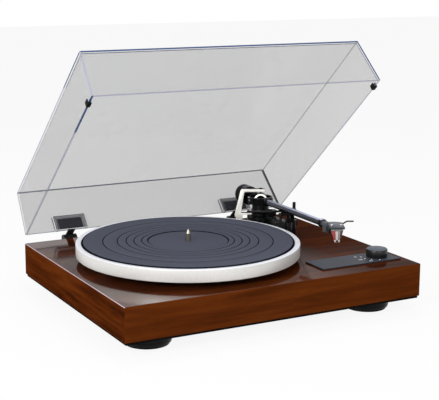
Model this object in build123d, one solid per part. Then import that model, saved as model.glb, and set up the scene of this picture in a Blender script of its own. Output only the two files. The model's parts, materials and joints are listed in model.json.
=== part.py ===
from build123d import *
import math
import os

os.makedirs("parts", exist_ok=True)

# Plinth and its underside, millimetres
plinth_width = 435.0
plinth_depth = 350.0
plinth_height = 45.0
plinth_wall = 20.0
deck_thickness = 18.0
plinth_edge_radius = 1.2
foot_height = 18.0
cover_thickness = 3.0
cover_inset = 2.0
post_radius = 10.0
rear_opening_width = 84.0
rear_opening_height = 18.0
rear_opening_x = 40.0

# Feet
foot_radius = 31.0
foot_round = 2.0
foot_inset_x = 52.5
foot_inset_y = 51.0
pad_radius = 28.0
pad_height = 3.5
pad_recess = 1.5
foot_screw_radius = 2.5
foot_screw_head_radius = 5.0
foot_screw_head_height = 3.5
foot_screw_seat = 9.0
foot_screw_grip = 14.0

# Small screws
small_screw_radius = 1.5
small_head_radius = 3.0
small_head_height = 1.8
cover_screw_length = 12.0
cover_screw_inset = 10.0
cover_screw_spread = 100.0

# Platter, mat and spindle
spindle_x = -48.5
spindle_y = -7.5
shaft_radius = 4.0
spindle_radius = 3.6
spindle_tip_height = 15.0
spindle_tip_length = 5.0
spindle_tip_radius = 0.9
platter_radius = 152.0
platter_rim_width = 9.0
platter_lift = 8.5
platter_height = 16.4
platter_floor = 4.4
platter_edge = 0.8
platter_recess = 2.0
mat_radius = 144.3
mat_thickness = 3.1
label_radius = 55.0
label_recess = 0.8
groove_radii = (63.0, 73.5, 84.0, 96.0, 115.5)
groove_width = 0.9
groove_depth = 0.7
mat_clearance = 0.3

# Inner drive platter, belt, pulley and motor
drive_radius = 80.0
drive_wall = 3.0
drive_plate = 2.5
drive_height = 13.0
drive_hub_radius = 10.0
pulley_radius = 6.0
pulley_flange = 1.0
pulley_height = 10.0
motor_shaft_radius = 1.0
motor_distance = 105.0
motor_angle = 135.0
motor_radius = 18.0
motor_length = 15.0
motor_flange_width = 56.0
motor_flange_depth = 38.0
motor_flange = 2.0
motor_screw_spacing = 48.0
motor_hole_radius = 9.0
motor_shaft_depth = 12.0
belt_thickness = 1.0
belt_width = 5.0
belt_clearance = 0.3

# Main bearing
bearing_radius = 9.0
bearing_length = 31.0
bearing_floor = 2.0
bearing_flange_radius = 22.0
bearing_flange = 3.0
bearing_screw_circle = 16.0
deck_screw_length = 10.0
shaft_clearance = 0.05
part_clearance = 0.3

# Control panel and speed knob
panel_from_right = 10.0
panel_width = 126.5
panel_from_front = 30.5
panel_depth = 44.5
panel_thickness = 2.0
panel_corner = 1.5
knob_from_right = 34.2
knob_from_front = 53.5
knob_radius = 14.8
knob_height = 11.0
knob_chamfer = 1.4
knob_shaft_radius = 3.0
knob_bore_depth = 7.0
switch_radius = 12.0
switch_length = 15.0
switch_bore_depth = 12.0

# Circuit board and the sockets at the back
board_width = 96.0
board_depth = 44.0
board_thickness = 1.6
board_x = 40.0
board_from_back = 47.0
standoff_radius = 3.0
standoff_height = 4.0
standoff_inset = 5.0
plate_side_margin = 8.0
plate_edge_margin = 1.5
plate_screw_inset = 4.0
plate_thickness = 1.5
phono_radius = 4.15
phono_length = 9.5
phono_bore = 1.6
phono_bore_depth = 8.0
phono_spacing = 16.0
phono_x = 20.0
inlet_x = 68.0
inlet_radius = 5.5
inlet_bore = 3.2
inlet_bore_depth = 8.0
inlet_pin = 1.0
inlet_length = 2.0
socket_tail = 10.0
socket_tail_radius = 3.0
inlet_tail_radius = 4.6

# Lid, as it stands when closed
lid_side_margin = 3.5
lid_front_margin = 4.6
lid_height = 70.8
lid_side_draft = 5.0
lid_front_draft = 4.0
lid_wall = 3.0
lid_gap = 3.5
lid_open_angle = 41.5
lid_edge = 0.7
bumper_length = 10.0
bumper_wall = 1.7
bumper_height = 9.0
bumper_from_front = 18.0

# Lid hinges
hinge_axis_behind = 12.0
hinge_axis_drop = 3.5
hinge_insets = {"left": 72.8, "right": 86.5}
hinge_barrel_radius = 6.5
hinge_barrel_length = 20.0
hinge_knuckle = 10.0
hinge_pin_radius = 2.0
hinge_plate_width = 36.0
hinge_plate_height = 30.0
hinge_plate_thickness = 3.0
hinge_screw_spacing = 26.0
hinge_screw_length = 14.0
strap_thickness = 2.6
strap_clearance = 0.4
pocket_width = 50.0
pocket_below = 2.0
pocket_height = 24.0
pocket_depth = 5.5
pocket_side_wall = 6.0
pocket_front_wall = 1.4
pocket_top_wall = 5.0
plug_clearance = 0.2

# Tonearm position and arm frame
pivot_distance = 202.0
pivot_direction = 30.5
pivot_height = 46.0
arm_park_angle = 2.8
arm_park_pitch = 0.75

# Tonearm base
column_radius = 20.0
column_height = 21.8
column_neck_radius = 9.5
column_neck_height = 10.9
cup_radius = 12.5
cup_height = 6.7
beam_width = 11.0
beam_height = 26.7
beam_end_x = 127.0
beam_end_y = 18.0
stud_radius = 8.0
stud_length = 26.0
nut_radius = 14.0
nut_height = 6.0

# Bearing frame
frame_turn = 30.0
frame_depth = 8.6
frame_beam = 4.1
frame_beam_end = 6.0
frame_clamp_width = 4.5
frame_clamp_height = 4.5
frame_leg = 2.5
frame_inner_left = 24.4
frame_inner_foot = 29.1
frame_outer_left = 29.7
frame_outer_foot = 39.0
frame_foot_left = 35.7
frame_foot_right = 26.7
frame_corner = 3.0
frame_rise = 12.4
frame_knee = 24.0
frame_drop = 29.6
frame_inner_knee = 19.4
pivot_screw_radius = 2.5
pivot_screw_stand = 1.5
pivot_pin_radius = 1.5
pivot_play = 0.2

# Bearing block, ring and arm tube
block_radius = 10.0
block_length = 16.0
block_bottom = 5.6
block_chamfer = 1.0
block_cup_depth = 2.0
ring_outer = 19.0
ring_inner = 15.5
ring_height = 10.0
ring_chamfer = 0.9
boss_radius = 6.0
boss_length = 6.0
boss_depth = 5.0
side_pivot_radius = 1.6
side_pivot_reach = 2.0
side_pivot_head = 2.6
side_pivot_head_height = 0.8
tube_radius = 4.5
tube_bore = 3.7
tube_end = 181.0
collar_radius = 5.9
collar_back = 3.5
collar_length = 7.0
collar_chamfer = 0.8

# Headshell and cartridge, along the arm and across it
head_screw_s = 212.2
head_screw_t = 3.2
head_offset = 24.4
head_plate = 2.8
head_plate_top = 2.4
head_corner = 1.2
head_front = 12.7
head_back = 20.0
head_left = 10.3
head_right = 10.4
head_shoulder_s = 189.5
head_shoulder_t = 14.0
neck_start = 181.3
neck_plate = 187.5
neck_end = 192.0
head_block_start = 188.0
head_block_end = 196.0
head_block_drop = 12.0
head_left_join = 204.0
head_screw_spacing = 12.7
head_screw_radius = 1.25
head_screw_head = 2.1
head_screw_head_height = 1.4
head_screw_length = 6.0
lift_root = 13.5
lift_width = 4.4
lift_thickness = 1.5
lift_rise = 3.4
lift_bend = 5.0
lift_reach = 15.0
cartridge_half_width = 8.2
cartridge_back = 15.0
cartridge_front = 4.5
cartridge_height = 13.5
cartridge_taper = 3.2
cartridge_shoulder = 5.0
stylus_front = 11.5
stylus_height = 18.0
stylus_half_top = 8.2
stylus_shoulder = 2.5
stylus_half_bottom = 3.4
stylus_tip_ahead = 9.0
stylus_tip_radius = 0.5
stylus_tip_length = 1.5

# Counterweight
rear_shaft_radius = 5.0
rear_shaft_end = 54.0
hub_radius = 8.0
hub_length = 17.0
weight_radius = 14.3
weight_length = 24.0
weight_front = 34.0
weight_chamfer = 1.2

# Anti-skating dial
dial_x = 128.0
dial_y = 66.0
dial_radius = 6.8
dial_height = 9.0
dial_chamfer = 0.8
dial_pin_radius = 2.0
dial_pin_depth = 3.0

# Arm rest and its clip
rest_post_radius = 2.5
rest_foot_width = 6.5
rest_foot_height = 6.0
rest_shelf = 4.0
rest_left = 5.2
rest_wall = 2.5
rest_wall_height = 6.0
clip_axis_t = 7.5
clip_axis_drop = 2.7
clip_knuckle_radius = 1.7
clip_pin_radius = 0.8
clip_half_width = 2.5
clip_ear = 1.4
clip_thickness = 1.8
clip_hook = 9.0
clip_open_angle = 172.0

# Arm lift and cue lever
lift_x = 148.0
lift_y = 38.0
lift_cylinder_radius = 4.0
lift_cylinder_height = 24.5
lift_cylinder_chamfer = 0.6
piston_radius = 1.5
piston_depth = 12.0
lift_bar_width = 5.0
lift_bar_thickness = 2.6
lift_bar_hub = 3.4
lift_bar_reach = 46.0
lift_travel = 6.0
bracket_gap = 4.0
bracket_wall = 2.0
bracket_depth = 8.0
bracket_foot = 9.0
bracket_above = 3.0
lever_y = 49.5
lever_z = 35.0
lever_pin_radius = 1.2
lever_hub_radius = 4.3
lever_hub_width = 4.0
lever_length = 13.0
lever_blade = 3.0

# Levels worked out from the sizes above
cover_bottom = foot_height
plinth_bottom = cover_bottom + cover_thickness
deck_top = plinth_bottom + plinth_height
deck_under = deck_top - deck_thickness
plinth_front = -plinth_depth / 2
plinth_back = plinth_depth / 2
half_width = plinth_width / 2
panel_right = half_width - panel_from_right
panel_left = panel_right - panel_width
panel_front = plinth_front + panel_from_front
knob_x = half_width - knob_from_right
knob_y = plinth_front + knob_from_front
hinge_axis_y = plinth_back + hinge_axis_behind
hinge_axis_z = deck_top - hinge_axis_drop
board_y = plinth_back - board_from_back
foot_x = half_width - foot_inset_x
foot_y = plinth_back - foot_inset_y
hinge_positions = {"left": hinge_insets["left"] - half_width, "right": half_width - hinge_insets["right"]}
lid_width = plinth_width - 2 * lid_side_margin
lid_depth = plinth_depth - lid_front_margin
platter_bottom = deck_top + platter_lift
platter_top = platter_bottom + platter_height
mat_seat = platter_top - platter_recess
mat_top = mat_seat + mat_thickness
platter_under = mat_seat - platter_floor
bearing_top = deck_top + bearing_flange
bearing_bottom = bearing_top - bearing_flange - bearing_length
pivot_x = spindle_x + pivot_distance * math.cos(math.radians(pivot_direction))
pivot_y = spindle_y + pivot_distance * math.sin(math.radians(pivot_direction))
pivot_z = deck_top + pivot_height
beam_top = deck_top + beam_height
lid_rim = deck_top + lid_gap
lid_back = plinth_back
lid_front = lid_back - lid_depth
open_radians = math.radians(lid_open_angle)
back_corner_y = lid_back - hinge_axis_y
back_corner_z = lid_rim + lid_height - hinge_axis_z
lid_reach = back_corner_y * math.cos(open_radians) + back_corner_z * math.sin(open_radians)
object_back = hinge_axis_y + lid_reach
origin_y = (plinth_front + object_back) / 2


# An upright cylinder between two heights
def cylinder_between(radius, bottom, top, x=0.0, y=0.0):
    return Pos(x, y, bottom) * extrude(Circle(radius), top - bottom)


# A box between two corners
def box_between(x0, x1, y0, y1, z0, z1):
    middle = Pos((x0 + x1) / 2, (y0 + y1) / 2, (z0 + z1) / 2)
    return middle * Box(x1 - x0, y1 - y0, z1 - z0)


# A cylinder along X between two places
def along_x(radius, start, end, y=0.0, z=0.0):
    return Pos(start, y, z) * Rot(Y=90) * extrude(Circle(radius), end - start)


# A cylinder along Y between two places
def along_y(radius, start, end, x=0.0, z=0.0):
    return Pos(x, start, z) * Rot(X=-90) * extrude(Circle(radius), end - start)


# A solid of revolution about an upright axis, from pairs of radius and height
def turned(points, x=0.0, y=0.0):
    profile = make_face(Polyline(*[(r, 0, z) for r, z in points], close=True))
    return Pos(x, y, 0) * revolve(profile, Axis.Z)


# A screw that points up, with its head below the seat
def upright_screw(x, y, seat, length, radius, head_radius, head_height):
    shank = cylinder_between(radius, seat, seat + length, x, y)
    return shank + cylinder_between(head_radius, seat - head_height, seat, x, y)


# Several separate solids as one sub-part
def group(shapes):
    return Compound(children=[solid for shape in shapes for solid in shape.solids()])


# Write one sub-part in the frame whose origin is below the middle of the object
def save(name, shape):
    solids = (Pos(0, -origin_y, 0) * shape).solids()
    placed = solids[0] if len(solids) == 1 else Compound(children=list(solids))
    placed.label = name
    export_step(placed, f"parts/{name}.step")


# Feet with their pads and screws
foot_centres = [(sx * foot_x, sy * foot_y) for sy in (-1, 1) for sx in (-1, 1)]
foot_names = ("foot_front_left", "foot_front_right", "foot_back_left", "foot_back_right")
foot_base = pad_height - pad_recess
foot_pads = []
foot_screws = []
for name, (x, y) in zip(foot_names, foot_centres):
    body = cylinder_between(foot_radius, foot_base, foot_height, x, y)
    body = fillet(body.edges().sort_by(Axis.Z)[0], foot_round)
    body -= cylinder_between(pad_radius + part_clearance, foot_base, pad_height, x, y)
    body -= cylinder_between(foot_screw_head_radius + part_clearance, foot_base, foot_screw_seat, x, y)
    body -= cylinder_between(foot_screw_radius + shaft_clearance, foot_screw_seat, foot_height, x, y)
    save(name, body)
    pad = cylinder_between(pad_radius, 0, pad_height, x, y)
    pad -= cylinder_between(foot_screw_head_radius + part_clearance, 0, pad_height, x, y)
    foot_pads.append(pad)
    screw_length = foot_height - foot_screw_seat + cover_thickness + foot_screw_grip
    screw_sizes = (foot_screw_radius, foot_screw_head_radius, foot_screw_head_height)
    foot_screws.append(upright_screw(x, y, foot_screw_seat, screw_length, *screw_sizes))
save("foot_pads", group(foot_pads))
save("foot_screws", group(foot_screws))

# Plinth with its hollow, its foot posts and the holes in its deck
motor_x = spindle_x + motor_distance * math.cos(math.radians(motor_angle))
motor_y = spindle_y + motor_distance * math.sin(math.radians(motor_angle))
hollow_x = half_width - plinth_wall
hollow_y = plinth_back - plinth_wall
opening_z = (plinth_bottom + deck_under) / 2
cover_screw_places = []
for side in (-1, 1):
    for spread in (-cover_screw_spread, cover_screw_spread):
        cover_screw_places.append((side * (half_width - cover_screw_inset), spread))
        cover_screw_places.append((spread, side * (plinth_depth / 2 - cover_screw_inset)))
bearing_screw_places = []
for turn in (90, 210, 330):
    reach = Vector(bearing_screw_circle, 0).rotate(Axis.Z, turn)
    bearing_screw_places.append((spindle_x + reach.X, spindle_y + reach.Y))
motor_screw_places = [(motor_x + side * motor_screw_spacing / 2, motor_y) for side in (-1, 1)]
hinge_screw_z = hinge_axis_z - hinge_barrel_radius - hinge_plate_height / 2
hinge_screw_places = []
for x in hinge_positions.values():
    for side in (-1, 1):
        hinge_screw_places.append((x + side * hinge_screw_spacing / 2, hinge_screw_z))
plate_screw_reach = rear_opening_width / 2 + plate_side_margin - plate_screw_inset
plate_screw_places = [(rear_opening_x + side * plate_screw_reach, opening_z) for side in (-1, 1)]
screw_hole = small_screw_radius + shaft_clearance

plinth = box_between(-half_width, half_width, plinth_front, plinth_back, plinth_bottom, deck_top)
plinth = fillet(plinth.edges(), plinth_edge_radius)
plinth -= box_between(-hollow_x, hollow_x, -hollow_y, hollow_y, plinth_bottom, deck_under)
for x, y in foot_centres:
    plinth += cylinder_between(post_radius, plinth_bottom, deck_under, x, y)
for x, y in foot_centres:
    bore = foot_screw_radius + shaft_clearance
    plinth -= cylinder_between(bore, plinth_bottom, plinth_bottom + foot_screw_grip + part_clearance, x, y)
deck_holes = [
    (bearing_radius + part_clearance, spindle_x, spindle_y),
    (motor_hole_radius, motor_x, motor_y),
    (stud_radius + part_clearance, pivot_x, pivot_y),
    (switch_radius + part_clearance, knob_x, knob_y),
]
for radius, x, y in deck_holes:
    plinth -= cylinder_between(radius, deck_under, deck_top, x, y)
for x, y in cover_screw_places:
    depth = cover_screw_length - cover_thickness + part_clearance
    plinth -= cylinder_between(screw_hole, plinth_bottom, plinth_bottom + depth, x, y)
for x, y in bearing_screw_places:
    depth = deck_screw_length - bearing_flange + part_clearance
    plinth -= cylinder_between(screw_hole, deck_top - depth, deck_top, x, y)
for x, y in motor_screw_places:
    depth = deck_screw_length - motor_flange + part_clearance
    plinth -= cylinder_between(screw_hole, deck_under, deck_under + depth, x, y)
for x, z in hinge_screw_places:
    depth = hinge_screw_length - hinge_plate_thickness + part_clearance
    plinth -= along_y(screw_hole, plinth_back - depth, plinth_back, x, z)
for x, z in plate_screw_places:
    depth = hinge_screw_length - plate_thickness + part_clearance
    plinth -= along_y(screw_hole, plinth_back - depth, plinth_back, x, z)
opening_left = rear_opening_x - rear_opening_width / 2
opening_right = rear_opening_x + rear_opening_width / 2
opening_low = opening_z - rear_opening_height / 2
opening_high = opening_z + rear_opening_height / 2
plinth -= box_between(opening_left, opening_right, hollow_y, plinth_back, opening_low, opening_high)
save("plinth", plinth)

# Bottom cover, with the studs that carry the circuit board
cover_x = half_width - cover_inset
cover_y = plinth_depth / 2 - cover_inset
cover = box_between(-cover_x, cover_x, -cover_y, cover_y, cover_bottom, plinth_bottom)
for x, y in foot_centres:
    cover -= cylinder_between(foot_screw_radius + shaft_clearance, cover_bottom, plinth_bottom, x, y)
for x, y in cover_screw_places:
    cover -= cylinder_between(screw_hole, cover_bottom, plinth_bottom, x, y)
board_bottom = plinth_bottom + standoff_height
for side_x in (-1, 1):
    for side_y in (-1, 1):
        x = board_x + side_x * (board_width / 2 - standoff_inset)
        y = board_y + side_y * (board_depth / 2 - standoff_inset)
        cover += cylinder_between(standoff_radius, plinth_bottom, board_bottom, x, y)
save("bottom_cover", cover)
small_screw = (small_screw_radius, small_head_radius, small_head_height)
cover_screws = []
for x, y in cover_screw_places:
    cover_screws.append(upright_screw(x, y, cover_bottom, cover_screw_length, *small_screw))
save("cover_screws", group(cover_screws))

# Circuit board
board_low = (board_x - board_width / 2, board_x + board_width / 2)
board_across = (board_y - board_depth / 2, board_y + board_depth / 2)
save("circuit_board", box_between(*board_low, *board_across, board_bottom, board_bottom + board_thickness))

# Sockets in their plate at the back
plate_back = plinth_back + plate_thickness
plate_left = opening_left - plate_side_margin
plate_right = opening_right + plate_side_margin
plate_low = opening_low - plate_edge_margin
plate_high = opening_high + plate_edge_margin
socket_plate = box_between(plate_left, plate_right, plinth_back, plate_back, plate_low, plate_high)
phono_places = [phono_x, phono_x + phono_spacing]
phono_sockets = []
for x in phono_places:
    socket_plate -= along_y(socket_tail_radius + shaft_clearance, plinth_back, plate_back, x, opening_z)
    socket = along_y(phono_radius, plate_back, plate_back + phono_length, x, opening_z)
    socket += along_y(socket_tail_radius, plate_back - socket_tail, plate_back, x, opening_z)
    bore_start = plate_back + phono_length - phono_bore_depth
    socket -= along_y(phono_bore, bore_start, plate_back + phono_length, x, opening_z)
    phono_sockets.append(socket)
socket_plate -= along_y(inlet_tail_radius + shaft_clearance, plinth_back, plate_back, inlet_x, opening_z)
for x, z in plate_screw_places:
    socket_plate -= along_y(screw_hole, plinth_back, plate_back, x, z)
save("socket_plate", socket_plate)
save("phono_sockets", group(phono_sockets))
inlet_end = plate_back + inlet_length
inlet = along_y(inlet_radius, plate_back, inlet_end, inlet_x, opening_z)
inlet += along_y(inlet_tail_radius, plate_back - socket_tail, plate_back, inlet_x, opening_z)
inlet -= along_y(inlet_bore, inlet_end - inlet_bore_depth, inlet_end, inlet_x, opening_z)
inlet += along_y(inlet_pin, inlet_end - inlet_bore_depth, inlet_end - part_clearance, inlet_x, opening_z)
save("power_inlet", inlet)
back_screws = []
hinge_seat = plinth_back + hinge_plate_thickness
for seat, places in ((hinge_seat, hinge_screw_places), (plate_back, plate_screw_places)):
    for x, z in places:
        screw = along_y(small_screw_radius, seat - hinge_screw_length, seat, x, z)
        back_screws.append(screw + along_y(small_head_radius, seat, seat + small_head_height, x, z))
save("back_screws", group(back_screws))

# Control panel, speed switch, shaft and knob
panel_back = panel_front + panel_depth
panel_top = deck_top + panel_thickness
panel = box_between(panel_left, panel_right, panel_front, panel_back, deck_top, panel_top)
panel = fillet(panel.edges().filter_by(Axis.Z), panel_corner)
panel -= cylinder_between(knob_shaft_radius + shaft_clearance, deck_top, panel_top, knob_x, knob_y)
save("control_panel", panel)
switch = cylinder_between(switch_radius, deck_top - switch_length, deck_top, knob_x, knob_y)
shaft_bore = knob_shaft_radius + shaft_clearance
switch -= cylinder_between(shaft_bore, deck_top - switch_bore_depth, deck_top, knob_x, knob_y)
save("speed_switch", switch)
knob_bottom = panel_top + part_clearance
knob_bore_top = knob_bottom + knob_bore_depth
shaft_bottom = deck_top - switch_bore_depth + part_clearance
save("knob_shaft", cylinder_between(knob_shaft_radius, shaft_bottom, knob_bore_top, knob_x, knob_y))
knob = cylinder_between(knob_radius, knob_bottom, knob_bottom + knob_height, knob_x, knob_y)
knob = chamfer(knob.edges().sort_by(Axis.Z)[-1], knob_chamfer)
knob -= cylinder_between(knob_shaft_radius, knob_bottom, knob_bore_top, knob_x, knob_y)
save("speed_knob", knob)

# Main bearing and spindle
bearing_bore = shaft_radius + shaft_clearance
bearing_seat = bearing_bottom + bearing_floor
bearing = turned([
    (0, bearing_bottom), (bearing_radius, bearing_bottom), (bearing_radius, deck_top),
    (bearing_flange_radius, deck_top), (bearing_flange_radius, bearing_top),
    (bearing_bore, bearing_top), (bearing_bore, bearing_seat), (0, bearing_seat),
], spindle_x, spindle_y)
bearing_screws = []
for x, y in bearing_screw_places:
    bearing -= cylinder_between(screw_hole, deck_top, bearing_top, x, y)
    screw = cylinder_between(small_screw_radius, bearing_top - deck_screw_length, bearing_top, x, y)
    screw += cylinder_between(small_head_radius, bearing_top, bearing_top + small_head_height, x, y)
    bearing_screws.append(screw)
save("main_bearing", bearing)
spindle_top = mat_top + spindle_tip_height
label_top = mat_top - label_recess
spindle = turned([
    (0, bearing_seat + shaft_clearance), (shaft_radius, bearing_seat + shaft_clearance),
    (shaft_radius, label_top), (spindle_radius, label_top),
    (spindle_radius, spindle_top - spindle_tip_length), (spindle_tip_radius, spindle_top), (0, spindle_top),
], spindle_x, spindle_y)
save("spindle", spindle)

# Drive platter, platter and mat
drive_bottom = platter_under - drive_height
drive_platter = turned([
    (shaft_radius, drive_bottom), (drive_hub_radius, drive_bottom),
    (drive_hub_radius, platter_under - drive_plate), (drive_radius - drive_wall, platter_under - drive_plate),
    (drive_radius - drive_wall, drive_bottom), (drive_radius, drive_bottom),
    (drive_radius, platter_under), (shaft_radius, platter_under),
], spindle_x, spindle_y)
save("drive_platter", drive_platter)
platter_inner = platter_radius - platter_rim_width
mat_pocket = mat_radius + mat_clearance
platter = turned([
    (shaft_radius, platter_under), (platter_inner, platter_under), (platter_inner, platter_bottom),
    (platter_radius, platter_bottom), (platter_radius, platter_top), (mat_pocket, platter_top),
    (mat_pocket, mat_seat), (shaft_radius, mat_seat),
], spindle_x, spindle_y)
outer_rim = platter.edges().filter_by(GeomType.CIRCLE).group_by(SortBy.RADIUS)[-1]
platter = chamfer(outer_rim, platter_edge)
save("platter", platter)
mat = cylinder_between(mat_radius, mat_seat, mat_top, spindle_x, spindle_y)
mat -= cylinder_between(label_radius, label_top, mat_top, spindle_x, spindle_y)
for radius in groove_radii:
    groove_place = (mat_top - groove_depth, mat_top, spindle_x, spindle_y)
    groove = cylinder_between(radius + groove_width / 2, *groove_place)
    groove -= cylinder_between(radius - groove_width / 2, *groove_place)
    mat -= groove
mat -= cylinder_between(bearing_bore, mat_seat, mat_top, spindle_x, spindle_y)
save("platter_mat", mat)

# Motor, its pulley and the belt
motor_top = deck_under - motor_flange
motor = cylinder_between(motor_radius, motor_top - motor_length, motor_top, motor_x, motor_y)
flange_x = motor_flange_width / 2
flange_y = motor_flange_depth / 2
flange = box_between(-flange_x, flange_x, -flange_y, flange_y, motor_top, deck_under)
motor += Pos(motor_x, motor_y, 0) * fillet(flange.edges().filter_by(Axis.Z), small_head_radius)
motor_shaft_bottom = deck_under - motor_shaft_depth
motor_bore = motor_shaft_radius + shaft_clearance
motor -= cylinder_between(motor_bore, motor_shaft_bottom, deck_under, motor_x, motor_y)
motor_screws = []
for x, y in motor_screw_places:
    motor -= cylinder_between(screw_hole, motor_top, deck_under, x, y)
    motor_screws.append(upright_screw(x, y, motor_top, deck_screw_length, *small_screw))
save("motor", motor)
save("deck_screws", group(bearing_screws + motor_screws))
belt_middle = (drive_bottom + platter_under) / 2
pulley_bottom = belt_middle - pulley_height / 2
pulley_top = belt_middle + pulley_height / 2
pulley_rim = pulley_radius + pulley_flange
pulley = turned([
    (0, motor_shaft_bottom + part_clearance), (motor_shaft_radius, motor_shaft_bottom + part_clearance),
    (motor_shaft_radius, pulley_bottom), (pulley_rim, pulley_bottom),
    (pulley_rim, pulley_bottom + pulley_flange), (pulley_radius, pulley_bottom + pulley_flange),
    (pulley_radius, pulley_top - pulley_flange), (pulley_rim, pulley_top - pulley_flange),
    (pulley_rim, pulley_top), (0, pulley_top),
], motor_x, motor_y)
save("drive_pulley", pulley)


# The area within a belt line that runs round both wheels at one distance from them
def belt_area(distance):
    wheels = Pos(spindle_x, spindle_y) * Circle(drive_radius + distance)
    wheels += Pos(motor_x, motor_y) * Circle(pulley_radius + distance)
    return make_hull(wheels.edges())


belt_outline = belt_area(belt_clearance + belt_thickness) - belt_area(belt_clearance)
save("drive_belt", Pos(0, 0, belt_middle - belt_width / 2) * extrude(belt_outline, belt_width))


# A box whose top is drawn in at both sides and at the front
def drawn_in_box(half, front, back, bottom, top, side_draft, front_draft):
    low = Pos(0, (front + back) / 2, bottom) * Rectangle(2 * half, back - front)
    high_middle = Pos(0, (front + front_draft + back) / 2, top)
    high = high_middle * Rectangle(2 * (half - side_draft), back - front - front_draft)
    return loft([low, high], ruled=True)


# Lid, modelled closed and then turned open about the hinge axis
lid_top = lid_rim + lid_height
lid_half = lid_width / 2
open_place = Pos(0, hinge_axis_y, hinge_axis_z) * Rot(X=-lid_open_angle)
open_place *= Pos(0, -hinge_axis_y, -hinge_axis_z)
inner_share = (lid_height - lid_wall) / lid_height
lid_outer = drawn_in_box(lid_half, lid_front, lid_back, lid_rim, lid_top, lid_side_draft, lid_front_draft)
lid_outer = chamfer(lid_outer.edges(), lid_edge)
lid_inner_back = lid_back - lid_wall
lid_inner = drawn_in_box(
    lid_half - lid_wall, lid_front + lid_wall, lid_inner_back, lid_rim, lid_top - lid_wall,
    lid_side_draft * inner_share, lid_front_draft * inner_share,
)
lid = lid_outer - lid_inner
save("lid", open_place * lid)

# Rubber bumpers clipped over the lid's side walls near the front
bumper_bottom = deck_top + part_clearance
bumper_front = lid_front + bumper_from_front - bumper_length / 2
bumpers = []
for side in (-1, 1):
    reach = (side * (lid_half - lid_wall - bumper_wall), side * (lid_half + bumper_wall))
    bumper = box_between(
        min(reach), max(reach), bumper_front, bumper_front + bumper_length,
        bumper_bottom, bumper_bottom + bumper_height,
    )
    bumpers.append(bumper - lid)
save("lid_bumpers", open_place * group(bumpers))

# Lid hinges: bracket and pin on the plinth, plug and clear pocket on the lid
knuckle_half = hinge_knuckle / 2
barrel_half = hinge_barrel_length / 2
hinge_plate_back = plinth_back + hinge_plate_thickness
hinge_plate_top = hinge_screw_z + hinge_plate_height / 2
hinge_bore = hinge_pin_radius + shaft_clearance
strap_bottom = deck_top + strap_clearance
strap_top = strap_bottom + strap_thickness
pocket_back = lid_inner_back
pocket_front = pocket_back - pocket_depth
plug_front = pocket_front + pocket_front_wall + plug_clearance
plug_back = pocket_back - plug_clearance
pocket_inner_half = pocket_width / 2 - pocket_side_wall
pocket_bottom = lid_rim - pocket_below
pocket_top = pocket_bottom + pocket_height
plug_half = pocket_inner_half - plug_clearance
plug_bottom = lid_rim + plug_clearance
plug_top = pocket_top - pocket_top_wall - plug_clearance
hinge_pins = []
for side, x in hinge_positions.items():
    half_plate = hinge_plate_width / 2
    plate_bottom = hinge_screw_z - hinge_plate_height / 2
    bracket = box_between(
        x - half_plate, x + half_plate, plinth_back, hinge_plate_back, plate_bottom, hinge_plate_top,
    )
    for hand in (-1, 1):
        near = x + hand * (knuckle_half + part_clearance)
        far = x + hand * barrel_half
        lug = along_x(hinge_barrel_radius, min(near, far), max(near, far), hinge_axis_y, hinge_axis_z)
        lug_bottom = hinge_axis_z - hinge_barrel_radius
        lug_x = (min(near, far), max(near, far))
        lug += box_between(*lug_x, plinth_back, hinge_axis_y, lug_bottom, hinge_axis_z)
        bracket += lug
    bracket -= along_x(hinge_pin_radius, x - barrel_half, x + barrel_half, hinge_axis_y, hinge_axis_z)
    for screw_x, screw_z in hinge_screw_places:
        bracket -= along_y(screw_hole, plinth_back, hinge_plate_back, screw_x, screw_z)
    save(f"hinge_bracket_{side}", bracket)
    hinge_pins.append(along_x(hinge_pin_radius, x - barrel_half, x + barrel_half, hinge_axis_y, hinge_axis_z))
    plug = along_x(hinge_barrel_radius, x - knuckle_half, x + knuckle_half, hinge_axis_y, hinge_axis_z)
    strap_x = (x - knuckle_half, x + knuckle_half)
    plug += box_between(*strap_x, plug_front, hinge_axis_y, strap_bottom, strap_top)
    plug += box_between(*strap_x, plug_front, plug_back, strap_bottom, plug_top)
    plug += box_between(x - plug_half, x + plug_half, plug_front, plug_back, plug_bottom, plug_top)
    plug -= along_x(hinge_bore, x - knuckle_half, x + knuckle_half, hinge_axis_y, hinge_axis_z)
    save(f"hinge_plug_{side}", open_place * plug)
    pocket_half = pocket_width / 2
    pocket_x = (x - pocket_half, x + pocket_half)
    pocket = box_between(*pocket_x, pocket_front, pocket_back, pocket_bottom, pocket_top)
    pocket -= box_between(
        x - pocket_inner_half, x + pocket_inner_half, pocket_front + pocket_front_wall, pocket_back,
        pocket_bottom, pocket_top - pocket_top_wall,
    )
    save(f"hinge_pocket_{side}", open_place * pocket)
save("hinge_pins", group(hinge_pins))

# Tonearm base: column, neck, cup, bottom pivot pin, beam and stud
column_top = deck_top + column_height
neck_top = column_top + column_neck_height
cup_top = neck_top + cup_height
clamp_bore = column_neck_radius + shaft_clearance
clamp_radius = clamp_bore + frame_clamp_width
block_under = pivot_z - block_bottom
arm_base = turned([
    (0, deck_top), (column_radius, deck_top), (column_radius, column_top), (column_neck_radius, column_top),
    (column_neck_radius, neck_top), (cup_radius, neck_top), (cup_radius, cup_top), (0, cup_top),
], pivot_x, pivot_y)
pin_top = block_under + block_cup_depth - pivot_play
arm_base += cylinder_between(pivot_pin_radius, cup_top, pin_top, pivot_x, pivot_y)
beam_half = beam_width / 2
beam_back = pivot_y - clamp_radius - part_clearance
beam_x = (beam_end_x - beam_half, beam_end_x + beam_half)
arm_base += box_between(*beam_x, beam_end_y, beam_back, deck_top, beam_top)
arm_base += cylinder_between(beam_half, deck_top, beam_top, beam_end_x, beam_end_y)
arm_base += cylinder_between(stud_radius, deck_top - stud_length, deck_top, pivot_x, pivot_y)
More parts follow.
